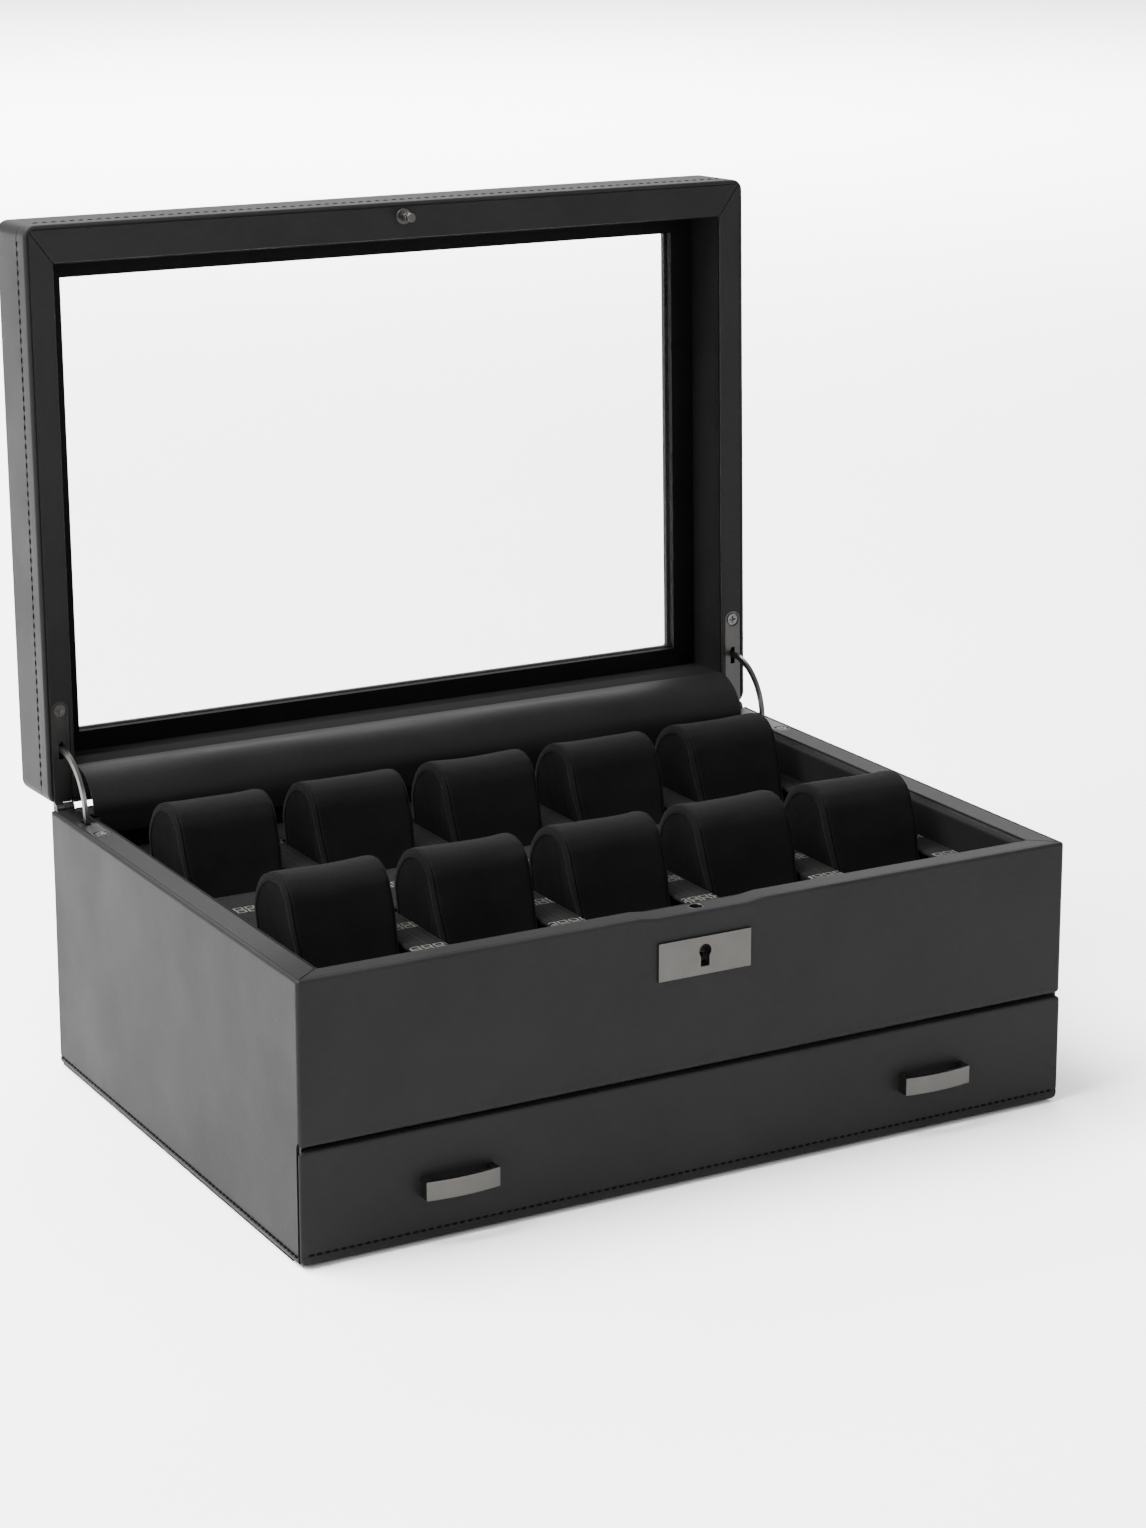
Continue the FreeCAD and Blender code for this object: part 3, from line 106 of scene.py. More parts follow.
def cells_of(tree, vector, scale):
    node = tree.nodes.new("ShaderNodeTexVoronoi")
    node.inputs["Scale"].default_value = scale
    tree.links.new(vector, node.inputs["Vector"])
    return node.outputs["Distance"]


def math_of(tree, kind, a, b=None):
    node = tree.nodes.new("ShaderNodeMath")
    node.operation = kind
    for index, value in enumerate((a, b)):
        if value is None:
            continue
        if isinstance(value, (int, float)):
            node.inputs[index].default_value = value
        else:
            tree.links.new(value, node.inputs[index])
    return node.outputs["Value"]


def spread(tree, factor, low, high):
    """Factor 0..1 mapped on low..high."""
    node = tree.nodes.new("ShaderNodeMapRange")
    node.inputs["From Min"].default_value = 0.3
    node.inputs["From Max"].default_value = 0.7
    node.inputs["To Min"].default_value = low
    node.inputs["To Max"].default_value = high
    tree.links.new(factor, node.inputs["Value"])
    return node.outputs["Result"]


def blend_colour(tree, factor, dark, light):
    node = tree.nodes.new("ShaderNodeMix")
    node.data_type = "RGBA"
    colours = [s for s in node.inputs if s.type == "RGBA"]
    for socket, value in zip(colours, (dark, light)):
        if isinstance(value, tuple):
            socket.default_value = (*value, 1)
        else:
            tree.links.new(value, socket)
    tree.links.new(factor, node.inputs["Factor"])
    return next(s for s in node.outputs if s.type == "RGBA")


def bump(tree, shader, *heights):
    """Chain of bumps, each (height socket, strength, distance in metres)."""
    normal = None
    for height, strength, distance in heights:
        node = tree.nodes.new("ShaderNodeBump")
        node.inputs["Strength"].default_value = strength
        node.inputs["Distance"].default_value = distance
        tree.links.new(height, node.inputs["Height"])
        if normal is not None:
            tree.links.new(normal, node.inputs["Normal"])
        normal = node.outputs["Normal"]
    tree.links.new(normal, shader.inputs["Normal"])


def leather(name, dark, light, rough, specular):
    mat, tree, shader = tree_of(name)
    vector = coords(tree)
    cloudy = noise_of(tree, vector, 28, 4)
    grain = cells_of(tree, vector, 1500)
    fine = noise_of(tree, vector, 2600, 2)
    tree.links.new(
        blend_colour(tree, spread(tree, cloudy, 0, 1), dark, light), shader.inputs["Base Color"])
    tree.links.new(spread(tree, cloudy, rough - 0.04, rough + 0.05), shader.inputs["Roughness"])
    shader.inputs["Specular IOR Level"].default_value = specular
    bump(tree, shader, (grain, 0.35, 0.00012), (fine, 0.3, 0.00005),
         (noise_of(tree, vector, 60, 2), 0.12, 0.0006))
    return mat


def fabric(name, dark, light, rough, sheen, weave=1400):
    mat, tree, shader = tree_of(name)
    vector = coords(tree)
    cloudy = noise_of(tree, vector, 55, 5, 0.65)
    tree.links.new(
        blend_colour(tree, spread(tree, cloudy, 0, 1), dark, light), shader.inputs["Base Color"])
    tree.links.new(spread(tree, cloudy, rough - 0.05, rough + 0.03), shader.inputs["Roughness"])
    shader.inputs["Specular IOR Level"].default_value = 0.04
    shader.inputs["Sheen Weight"].default_value = sheen
    shader.inputs["Sheen Roughness"].default_value = 0.45
    bump(tree, shader, (noise_of(tree, vector, weave, 3, 0.7), 0.5, 0.0002),
         (cloudy, 0.2, 0.0008))
    return mat


def metal(name, colour, rough, stretch=(40, 900, 900), anisotropy=0.4):
    mat, tree, shader = tree_of(name)
    brushed = noise_of(tree, coords(tree, stretch), 3, 4, 0.6)
    soft = noise_of(tree, coords(tree), 90, 3)
    dark = tuple(c * 0.88 for c in colour)
    tree.links.new(
        blend_colour(tree, spread(tree, soft, 0, 1), dark, colour), shader.inputs["Base Color"])
    tree.links.new(spread(tree, brushed, rough - 0.05, rough + 0.07), shader.inputs["Roughness"])
    shader.inputs["Metallic"].default_value = 1.0
    shader.inputs["Anisotropic"].default_value = anisotropy
    bump(tree, shader, (brushed, 0.08, 0.00003))
    return mat


def board(name, dark, light):
    mat, tree, shader = tree_of(name)
    fibres = noise_of(tree, coords(tree, (18, 220, 220)), 4, 6, 0.6)
    tree.links.new(
        blend_colour(tree, spread(tree, fibres, 0, 1), dark, light), shader.inputs["Base Color"])
    tree.links.new(spread(tree, fibres, 0.55, 0.72), shader.inputs["Roughness"])
    bump(tree, shader, (fibres, 0.2, 0.0002))
    return mat


def patterned(name):
    """Dark tray cloth with woven stripes between the wells and bands of small checks."""
    mat, tree, shader = tree_of(name)
    vector = coords(tree)
    split = tree.nodes.new("ShaderNodeSeparateXYZ")
    tree.links.new(vector, split.inputs["Vector"])
    x, y = split.outputs["X"], split.outputs["Y"]
    # Distance in metres from the middle of the strip between two wells.
    column = math_of(tree, "FRACT", math_of(tree, "DIVIDE", math_of(tree, "ADD", x, 6.1), 0.061))
    across = math_of(tree, "MULTIPLY", math_of(tree, "SUBTRACT", column, 0.5), 0.061)
    off = math_of(tree, "ABSOLUTE", across)
    lines = math_of(tree, "LESS_THAN", math_of(
        tree, "FRACT", math_of(tree, "DIVIDE", off, 0.0018)), 0.42)
    stripes = math_of(tree, "MULTIPLY", lines, math_of(tree, "LESS_THAN", off, 0.0046))

    def cell(value, pitch):
        """Distance 0..0.5 from the middle of a repeat."""
        share = math_of(tree, "FRACT", math_of(tree, "DIVIDE", math_of(
            tree, "ADD", value, 1000 * pitch), pitch))
        return math_of(tree, "ABSOLUTE", math_of(tree, "SUBTRACT", share, 0.5))

    bands = None
    for centre in (-0.07, -0.042, 0.007, 0.0385, 0.084):
        band = math_of(tree, "LESS_THAN", math_of(
            tree, "ABSOLUTE", math_of(tree, "SUBTRACT", y, centre)), 0.0035)
        bands = band if bands is None else math_of(tree, "MAXIMUM", bands, band)
    reach = math_of(tree, "MAXIMUM", cell(x, 0.005), cell(y, 0.0035))
    frame_of = math_of(tree, "MULTIPLY", math_of(tree, "GREATER_THAN", reach, 0.28),
                       math_of(tree, "LESS_THAN", reach, 0.41))
    checks = math_of(tree, "MULTIPLY", bands, frame_of)
    cloudy = spread(tree, noise_of(tree, vector, 300, 4), 0.0, 1.0)
    ground = blend_colour(tree, cloudy, (0.0012, 0.0012, 0.0013), (0.0024, 0.0024, 0.0025))
    striped = blend_colour(tree, stripes, ground, (0.005, 0.005, 0.0052))
    colour = blend_colour(tree, checks, striped, (0.06, 0.057, 0.051))
    tree.links.new(colour, shader.inputs["Base Color"])
    tree.links.new(spread(tree, noise_of(tree, vector, 900, 3), 0.72, 0.88),
                   shader.inputs["Roughness"])
    shader.inputs["Specular IOR Level"].default_value = 0.04
    shader.inputs["Sheen Weight"].default_value = 0.01
    ribs = tree.nodes.new("ShaderNodeTexWave")
    ribs.inputs["Scale"].default_value = 600
    tree.links.new(vector, ribs.inputs["Vector"])
    bump(tree, shader, (ribs.outputs["Fac"], 0.3, 0.0001))
    return mat


def glass(name):
    mat, tree, shader = tree_of(name)
    tree.links.new(
        spread(tree, noise_of(tree, coords(tree), 12, 2), 0.02, 0.035), shader.inputs["Roughness"])
    shader.inputs["Base Color"].default_value = (0.1, 0.11, 0.11, 1)
    shader.inputs["IOR"].default_value = 1.5
    shader.inputs["Alpha"].default_value = 0.07
    return mat


LEATHER = leather("black_leather", (0.0066, 0.0066, 0.0068), (0.0088, 0.0088, 0.009), 0.5, 0.062)
STRAP = leather("flap_leather", (0.005, 0.005, 0.0052), (0.0065, 0.0065, 0.0067), 0.5, 0.055)
LINING = fabric("lining_cloth", (0.0012, 0.0012, 0.0013), (0.0022, 0.0022, 0.0023), 0.85, 0.02)
SUEDE = fabric(
    "cushion_suede", (0.0014, 0.0014, 0.0015), (0.0026, 0.0026, 0.0027), 0.84, 0.012, 1900)
# Darker copy of the cushion suede for the side faces: painted shade where the neighbouring
# cushions shadow them.
SUEDE_PAINTED_SHADE = fabric(
    "cushion_suede_painted_shade", (0.0007, 0.0007, 0.0007), (0.0017, 0.0017, 0.0017), 0.88, 0.006, 1900)
FELT = fabric("black_felt", (0.002, 0.002, 0.002), (0.005, 0.005, 0.005), 0.9, 0.05, 900)
THREAD = fabric("thread", (0.0006, 0.0006, 0.0006), (0.0014, 0.0014, 0.0014), 0.75, 0.0, 3000)
PATTERN = patterned("tray_cloth")
BEAD = fabric("bead_black", (0.001, 0.001, 0.001), (0.002, 0.002, 0.002), 0.6, 0.0, 700)
GUNMETAL = metal("satin_gunmetal", (0.052, 0.05, 0.0475), 0.36)
NICKEL = metal("dark_nickel", (0.06, 0.058, 0.056), 0.36, (900, 60, 900), 0.2)
LEAF = metal("leaf_nickel", (0.038, 0.037, 0.036), 0.38, (900, 60, 900), 0.2)
BRIGHT = metal("bright_nickel", (0.075, 0.073, 0.07), 0.34, (900, 60, 900), 0.2)
# Near-black steel for the lock, pins and handle screws, darkened so that the keyhole reads black:
# painted shade.
STEEL_PAINTED_SHADE = metal("lock_steel_painted_shade", (0.02, 0.02, 0.02), 0.4, (900, 900, 60))
BOARD = board("stained_board", (0.003, 0.0026, 0.0024), (0.007, 0.006, 0.0055))
GLASS = glass("clear_glass")


# -------------------------------------------------------------------- geometry

def make(name, points, faces, mat, body, replaces=(), sharp=35, turn=False):
    """Mesh piece from millimetre points that rides on a body."""
    mesh = bpy.data.meshes.new(name)
    place = opened if turn else Vector
    mesh.from_pydata([tuple(place(p) * MM) for p in points], [], faces)
    obj = bpy.data.objects.new(name, mesh)
    bpy.context.collection.objects.link(obj)
    tidy(obj, sharp)
    obj.data.materials.append(mat)
    attach(obj, body, replaces)
    return obj


def tidy(obj, sharp=35):
    """Outward faces, smooth shading with edges sharper than the angle kept."""
    bm = bmesh.new()
    bm.from_mesh(obj.data)
    bmesh.ops.remove_doubles(bm, verts=bm.verts, dist=1e-6)
    bmesh.ops.recalc_face_normals(bm, faces=bm.faces)
    for face in bm.faces:
        face.smooth = True
    bm.to_mesh(obj.data)
    bm.free()
    obj.data.set_sharp_from_angle(angle=math.radians(sharp))


def weigh(obj):
    """Normals weighted by area, so that flats next to a rounded edge stay flat."""
    modifier = obj.modifiers.new("weigh", "WEIGHTED_NORMAL")
    modifier.keep_sharp = True
    modifier.weight = 80
    bake(obj)


def attach(obj, body, replaces=()):
    if body:
        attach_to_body(obj, body)
    if replaces:
        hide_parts(*replaces)


def corner_loop(x0, x1, y0, y1, r, steps=4, front=(), z=0.0):
    """Rounded rectangle from the front-left corner: front, right, back, left.

    `front` lists x positions of extra points on the front edge."""
    loop = []
    corners = ((x0 + r, y0 + r, 180), (x1 - r, y0 + r, 270), (x1 - r, y1 - r, 0),
               (x0 + r, y1 - r, 90))
    for number, (cx, cy, start) in enumerate(corners):
        for step in range(steps + 1):
            angle = math.radians(start + 90 * step / steps)
            loop.append((cx + r * math.cos(angle), cy + r * math.sin(angle), z))
        if number == 0:
            loop += [(x, y0, z) for x in front]
    return loop


def bridge(rings, closed=True):
    """Faces between rings of equal length; closed joins last ring to first."""
    points, faces = [], []
    size = len(rings[0])
    for ring in rings:
        points += ring
    count = len(rings)
    for i in range(count if closed else count - 1):
        a, b = i * size, ((i + 1) % count) * size
        for j in range(size):
            k = (j + 1) % size
            faces.append((a + j, a + k, b + k, b + j))
    return points, faces


def arc(radius, start, end, steps):
    """(across, up) offsets of an arc about its centre, angles in degrees."""
    return [(radius * math.cos(math.radians(start + (end - start) * i / steps)),
             radius * math.sin(math.radians(start + (end - start) * i / steps)))
            for i in range(steps + 1)]


def slab(name, outline, z0, z1, mat, body, round_edge=0.3, turn=False, drop=None,
         segments=2):
    """Prism on an outline, its edges rounded; `drop(x)` lowers it locally."""
    drop = drop or (lambda x: 0.0)
    size = len(outline)
    points = [(x, y, z - drop(x)) for z in (z0, z1) for x, y in outline]
    faces = [tuple(range(size)), tuple(range(2 * size - 1, size - 1, -1))]
    faces += [(j, (j + 1) % size, size + (j + 1) % size, size + j) for j in range(size)]
    obj = make(name, points, faces, mat, body, turn=turn)
    if round_edge:
        round_edges(obj, round_edge, segments)
    return obj


def round_edges(obj, width, segments=2, over=30):
    """Rounds every edge sharper than `over` degrees by `width` millimetres."""
    bm = bmesh.new()
    bm.from_mesh(obj.data)
    bmesh.ops.remove_doubles(bm, verts=bm.verts, dist=2e-6)
    bmesh.ops.dissolve_limit(
        bm, angle_limit=math.radians(0.5), verts=bm.verts, edges=bm.edges)
    sharp = [e for e in bm.edges
             if len(e.link_faces) == 2 and e.calc_face_angle(0) > math.radians(over)]
    bmesh.ops.bevel(
        bm, geom=sharp, offset=width * MM, segments=segments, profile=0.5,
        affect="EDGES", clamp_overlap=True)
    bm.to_mesh(obj.data)
    bm.free()
    tidy(obj, 40)
    weigh(obj)


def refine(node, body, mat, width=0.25, segments=2):
    """CAD piece with its edges rounded."""
    obj = bpy.data.objects.new(f"{node}_fine", NODES[node].data.copy())
    bpy.context.collection.objects.link(obj)
    obj.data.materials.clear()
    round_edges(obj, width, segments)
    obj.data.materials.append(mat)
    attach(obj, body, (node,))
    return obj


def carve(obj, cutters):
    """Takes the cutters out of a closed piece."""
    for cutter in cutters:
        modifier = obj.modifiers.new("carve", "BOOLEAN")
        modifier.object = cutter
        modifier.solver = "EXACT"
    bake(obj)
    tidy(obj, 35)
    weigh(obj)


def bake(obj):
    """Applies the modifiers."""
    mesh = bpy.data.meshes.new_from_object(
        obj.evaluated_get(bpy.context.evaluated_depsgraph_get()))
    obj.modifiers.clear()
    obj.data = mesh


def leaf_outline(grow):
    """Plan of a right-hand hinge leaf with its round end, enlarged by `grow`."""
    radius = 4.0 + grow
    end = [(LEAF_X + x, SCREW_Y - y) for x, y in arc(radius, 180, 0, 12)]
    return [(LEAF_X - radius, 124.0)] + end + [(LEAF_X + radius, 124.0)]


def prism(name, outline, z0, z1, turn=False, axis="z"):
    """Bare cutter; on axis y the outline is (x, z) and z0, z1 are y levels."""
    size = len(outline)
    lift = (lambda p, q: (p[0], p[1], q)) if axis == "z" else (lambda p, q: (p[0], q, p[1]))
    points = [lift(p, z0) for p in outline] + [lift(p, z1) for p in outline]
    faces = [tuple(range(size)), tuple(range(2 * size - 1, size - 1, -1))]
    faces += [(j, (j + 1) % size, size + (j + 1) % size, size + j) for j in range(size)]
    mesh = bpy.data.meshes.new(name)
    place = opened if turn else Vector
    mesh.from_pydata([tuple(place(p) * MM) for p in points], [], faces)
    obj = bpy.data.objects.new(name, mesh)
    bpy.context.collection.objects.link(obj)
    tidy(obj)
    return obj


def both_sides(outline):
    return outline, [(-x, y) for x, y in outline]


def rectangle(x0, x1, y0, y1):
    return [(x0, y0), (x1, y0), (x1, y1), (x0, y1)]


# -------------------------------------------------------------------- cutters

base_cutters, lid_cutters = [], []
for number, outline in enumerate(both_sides(leaf_outline(0.25))):
    base_cutters.append(prism(f"cut_base_leaf_{number}", outline, 110.3, 114))
    lid_cutters.append(prism(f"cut_lid_leaf_{number}", outline, 111.5, 115.2, turn=True))
for number, outline in enumerate(both_sides(rectangle(161.4, 170.6, 120.8, 124.5))):
    base_cutters.append(prism(f"cut_base_knuckle_{number}", outline, 109.8, 115.7))
    lid_cutters.append(prism(f"cut_lid_knuckle_{number}", outline, 109.8, 115.7, turn=True))
latch_cutter = prism(
    "cut_latch", [(x, y + LATCH_Y) for x, y in arc(3.3, 0, 345, 23)], 104, 114)
keyhole_outline = [(x, 95.5 + z) for x, z in arc(2.95, -47, 227, 20)]
keyhole_outline += [(-2.05, 89.1), (2.05, 89.1)]
keyhole_cutter = prism("cut_keyhole", keyhole_outline, -125, -119, axis="y")
stud_cutter = prism(
    "cut_stud", [(x, y + LATCH_Y) for x, y in arc(1.5, 0, 345, 15)], 112, 116, turn=True)


# ------------------------------------------------------------------ case leather

def dip(x):
    """Depth of the finger notch."""
    return min(1.0, max(0.0, (28 - abs(x)) / 8))


def tight(y, z, face):
    """Sharper edge on the hinge side: draws rounding points out to the corner."""
    reach, share = 1.41, 0.3
    if abs(z - face) < reach and OUT_Y - y < reach:
        return OUT_Y - share * (OUT_Y - y), face + share * (z - face)
    return y, z


def wall_profile(top_edge=1.4):
    """(inset, level) of the case's leather over the fascia line, from its foot."""
    run = [(0.0, 49.6), (0.0, 80.0), (0.0, RIM_Z - top_edge)]
    run += [(top_edge + x, RIM_Z - top_edge + z) for x, z in arc(top_edge, 180, 90, 5)[1:]]
    run += [(1.85, RIM_Z - 0.03), (1.95, RIM_Z - 0.5), (1.95, BOARD_Z - 0.02),
            (1.2, BOARD_Z - 0.02)]
    return run


def case_skin():
    """One leather skin round the case; below the fascia it covers sides and back only."""
    high = wall_profile()
    foot = [(1.2, 1.02)] + [(1.5 + x, 2.5 + z) for x, z in arc(1.5, 258, 180, 4)]
    foot += [(0.0, 3.3), (0.22, 3.75), (0.22, 4.25), (0.0, 4.7), (0.0, 47.4)]
    under = [(1.2, FASCIA_Z)] + [(1.6 + x, FASCIA_Z + 1.6 + z) for x, z in arc(1.6, 255, 186, 4)]
    notch = (-34, -28, -24, -20, 0, 20, 24, 28, 34)

    def column_points(levels):
        rings = []
        for inset, z in levels:
            rings.append(corner_loop(
                -OUT_X + inset, OUT_X - inset, -OUT_Y + inset, OUT_Y - inset,
                max(0.35, 1.8 - inset), 4, notch, z))
        return rings

    high_rings, foot_rings, under_rings = map(column_points, (high, foot, under))
    size = len(high_rings[0])
    steps = 4
    # The loop starts at the front-left arc's end on the left side and runs over the front.
    front = set(range(1, steps + len(notch) + steps + 1))
    points, faces, index = [], [], {}

    def add(kind, level, column, point):
        index[kind, level, column] = len(points)
        points.append(point)

    for column in range(size):
        for level, ring in enumerate(high_rings):
            x, y, z = ring[column]
            if z > 100 and column in front and y < -115:
                z -= dip(x)
            if y > HINGE_SIDE_Y:
                y, z = tight(y, z, RIM_Z)
            add("high", level, column, (x, y, z))
        if column in front:
            for level, ring in enumerate(under_rings):
                add("low", level, column, ring[column])
        else:
            for level, ring in enumerate(foot_rings):
                x, y, z = ring[column]
                if y < -119.5:
                    # Edge beside the drawer, eased back to leave a shadow gap.
                    y += 1.7
                    x -= math.copysign(0.3, x)
                add("low", level, column, (x, y, z))
    for column in range(size):
        after = (column + 1) % size
        same = (column in front) == (after in front)
        last = len(high) - 1
        for level in range(last):
            faces.append((index["high", level, column], index["high", level, after],
                          index["high", level + 1, after], index["high", level + 1, column]))
        if same:
            count = len(under if column in front else foot)
            run = [("low", level) for level in range(count)] + [("high", 0)]
            for a, b in zip(run, run[1:]):
                faces.append((index[(*a, column)], index[(*a, after)],
                              index[(*b, after)], index[(*b, column)]))
            faces.append((index["high", last, column], index["high", last, after],
                          index["low", 0, after], index["low", 0, column]))
        else:
            # Where the fascia's foot meets the side: close both ends.
            wall, face = (column, after) if column not in front else (after, column)
            face_run = [index["low", level, face] for level in range(len(under))]
            wall_run = [index["low", level, wall] for level in range(len(foot))]
            faces.append(tuple(
                face_run + [index["high", 0, face], index["high", 0, wall],
                            index["high", last, wall], index["high", last, face]]))
            faces.append(tuple(
                wall_run + [index["high", 0, wall], index["high", last, wall]]))
    return make("case_skin", points, faces, LEATHER, "base",
                ("case_leather_front", "case_leather_sides", "case_leather_back"))


skin = case_skin()
carve(skin, base_cutters + [keyhole_cutter])

# Rim strips, laid on the edge 1.95 mm inside it and mitred at the corners.
EDGE = 2.05
GAP = 0.12
ox, oy = OUT_X - EDGE, OUT_Y - EDGE
stations = (-34, -28, -24, -20, 20, 24, 28, 34)
rim_outlines = {
    "front": [(-ox + GAP, -oy)] + [(x, -oy) for x in stations] + [(ox - GAP, -oy)]
             + [(WALL_X - GAP, -FASCIA_Y)] + [(x, -FASCIA_Y) for x in reversed(stations)]
             + [(-WALL_X + GAP, -FASCIA_Y)],
    "rear": [(-WALL_X + GAP, REAR_Y), (WALL_X - GAP, REAR_Y), (ox - GAP, oy), (-ox + GAP, oy)],
    "right": [(WALL_X, -FASCIA_Y + GAP), (ox, -oy + GAP), (ox, oy - GAP), (WALL_X, REAR_Y - GAP)],
    "left": [(-WALL_X, -FASCIA_Y + GAP), (-WALL_X, REAR_Y - GAP), (-ox, oy - GAP),
             (-ox, -oy + GAP)],
}
for side, outline in rim_outlines.items():
    strip = slab(f"rim_strip_{side}", outline, BOARD_Z, RIM_Z, LEATHER, "base",
                 0.35, drop=dip if side == "front" else None)
    carve(strip, [latch_cutter] if side == "front" else base_cutters)
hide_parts("base_rim_strips")


# ------------------------------------------------------------------- linings, tray

def lining_ring():
    """Fabric-covered boards that stand inside the case."""
    outer, inner = (160.45, 111.9, 110.7), (156.5, 108.0, 107.0)
    edge = 1.1
    levels = [(outer, 0.0, 54.6), (outer, 0.0, 110.5 - edge)]
    levels += [(outer, edge + x, 110.5 - edge + z) for x, z in arc(edge, 180, 90, 3)[1:]]
    levels += [(inner, -edge + x, 110.5 - edge + z) for x, z in arc(edge, 90, 0, 3)]
    levels += [(inner, 0.0, 54.6)]
    rings = []
    for (x, front, rear), inset, z in levels:
        rings.append(corner_loop(
            -x + inset, x - inset, -front + inset, rear - inset, 0.8, 2, (), z))
    points, faces = bridge(rings)
    return make("inner_linings", points, faces, LINING, "base",
                ("case_linings",))


weigh(lining_ring())


def tray_cloth():
    """Tray covering whose cloth rolls over the edges of the ten wells."""
    lip = 1.3
    xs, ys = [-156.4], [-107.9]
    for x in WELLS_X:
        xs += [x - WELL_HALF_X - lip, x + WELL_HALF_X + lip]
    for y in WELLS_Y:
        ys += [y - WELL_HALF_Y - lip, y + WELL_HALF_Y + lip]
    xs.append(156.4)
    ys.append(106.9)
    points, faces = [], []
    for y in ys:
        points += [(x, y, TRAY_Z) for x in xs]
    width = len(xs)
    for j in range(len(ys) - 1):
        for i in range(width - 1):
            if i % 2 == 1 and j % 2 == 1:
                continue  # a well
            a = j * width + i
            faces.append((a, a + 1, a + 1 + width, a + width))
    for y in WELLS_Y:
        for x in WELLS_X:
            rings = []
            for inset, drop in [(lip + p, q - lip) for p, q in arc(lip, 90, 180, 4)] + [
                    (0.0, -9.0)]:
                inset = lip - inset
                rings.append([
                    (x + sx * (WELL_HALF_X + lip - inset),
                     y + sy * (WELL_HALF_Y + lip - inset), TRAY_Z + drop)
                    for sx, sy in ((-1, -1), (1, -1), (1, 1), (-1, 1))])
            start = len(points)
            for ring in rings:
                points += ring
            for level in range(len(rings) - 1):
                for k in range(4):
                    a = start + level * 4
                    faces.append((a + k, a + (k + 1) % 4, a + 4 + (k + 1) % 4, a + 4 + k))
    return make("tray_cloth", points, faces, PATTERN, "base",
                ("tray_lining",))


weigh(tray_cloth())


# ------------------------------------------------------------------------- lid

def lid_skin():
    """Leather round the lid's edge and over its top, down to the glass."""
    levels = []

    def edge(inset, z):
        levels.append((-OUT_X + inset, OUT_X - inset, -OUT_Y + inset, OUT_Y - inset,
                       max(0.6, 5.0 - inset), z))

    def window(inset, z):
        levels.append((-WINDOW_X + inset, WINDOW_X - inset, WINDOW_FRONT + inset,
                       WINDOW_REAR - inset, 1.0, z))

    edge(1.2, LID_Z + 1.25)
    edge(2.0, LID_Z + 1.25)
    edge(2.0, LID_Z + 0.4)
    for x, z in arc(1.4, 270, 180, 5):
        edge(1.4 + x, LID_Z + 1.4 + z)
    for inset, up in ((0, 7.7), (0.22, 8.25), (0.22, 8.75), (0, 9.3)):
        edge(inset, LID_Z + up)
    for x, z in arc(2.2, 180, 90, 6):
        edge(2.2 + x, LID_TOP - 2.2 + z)
    for x, z in arc(0.5, 90, 0, 4):
        window(0.15 - 0.5 + x, LID_TOP - 0.5 + z)
    window(0.15, 143.05)
    window(-0.4, 143.05)
    window(-0.4, 144.7)
    edge(1.2, 144.7)
    rings = [corner_loop(x0, x1, y0, y1, r, 8, (), z) for x0, x1, y0, y1, r, z in levels]
    points, faces = bridge(rings)
    points = [(x, *tight(y, z, LID_Z)) if y > HINGE_SIDE_Y and abs(x) < CORNER_X else (x, y, z)
              for x, y, z in points]
    return make("lid_skin", points, faces, LEATHER, "lid",
                ("lid_leather_wrap", "lid_top_leather"), turn=True)


carve(lid_skin(), lid_cutters)

ix = LID_IN_X
lid_outlines = {
    "front": [(-ox + GAP, -oy), (ox - GAP, -oy), (ix - GAP, LID_IN_FRONT),
              (-ix + GAP, LID_IN_FRONT)],
    "rear": [(-ix + GAP, LID_IN_REAR), (ix - GAP, LID_IN_REAR), (ox - GAP, oy), (-ox + GAP, oy)],
    "right": [(ix, LID_IN_FRONT + GAP), (ox, -oy + GAP), (ox, oy - GAP), (ix, LID_IN_REAR - GAP)],
    "left": [(-ix, LID_IN_FRONT + GAP), (-ix, LID_IN_REAR - GAP), (-ox, oy - GAP),
             (-ox, -oy + GAP)],
}
for side, outline in lid_outlines.items():
    strip = slab(f"lid_strip_{side}", outline, LID_Z, LID_Z + 1.2, LEATHER, "lid",
                 0.35, turn=True)
    carve(strip, [stud_cutter] if side == "front" else lid_cutters)
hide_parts("lid_rim_strips")


def lid_recess():
    """Cloth on the inside of the lid's rails, between the strips and the bead."""
    outer = (ix - 0.02, LID_IN_FRONT + 0.02, LID_IN_REAR - 0.02)
    rings = []
    for thick, z in ((0, 114.0), (0.35, 114.1), (0.5, 114.4), (0.5, 136.9), (0, 136.9)):
        rings.append(corner_loop(
            -outer[0] + thick, outer[0] - thick, outer[1] + thick, outer[2] - thick,
            0.7, 2, (), z))
    points, faces = bridge(rings)
    return make("lid_recess_lining", points, faces, LINING, "lid", turn=True)


lid_recess()


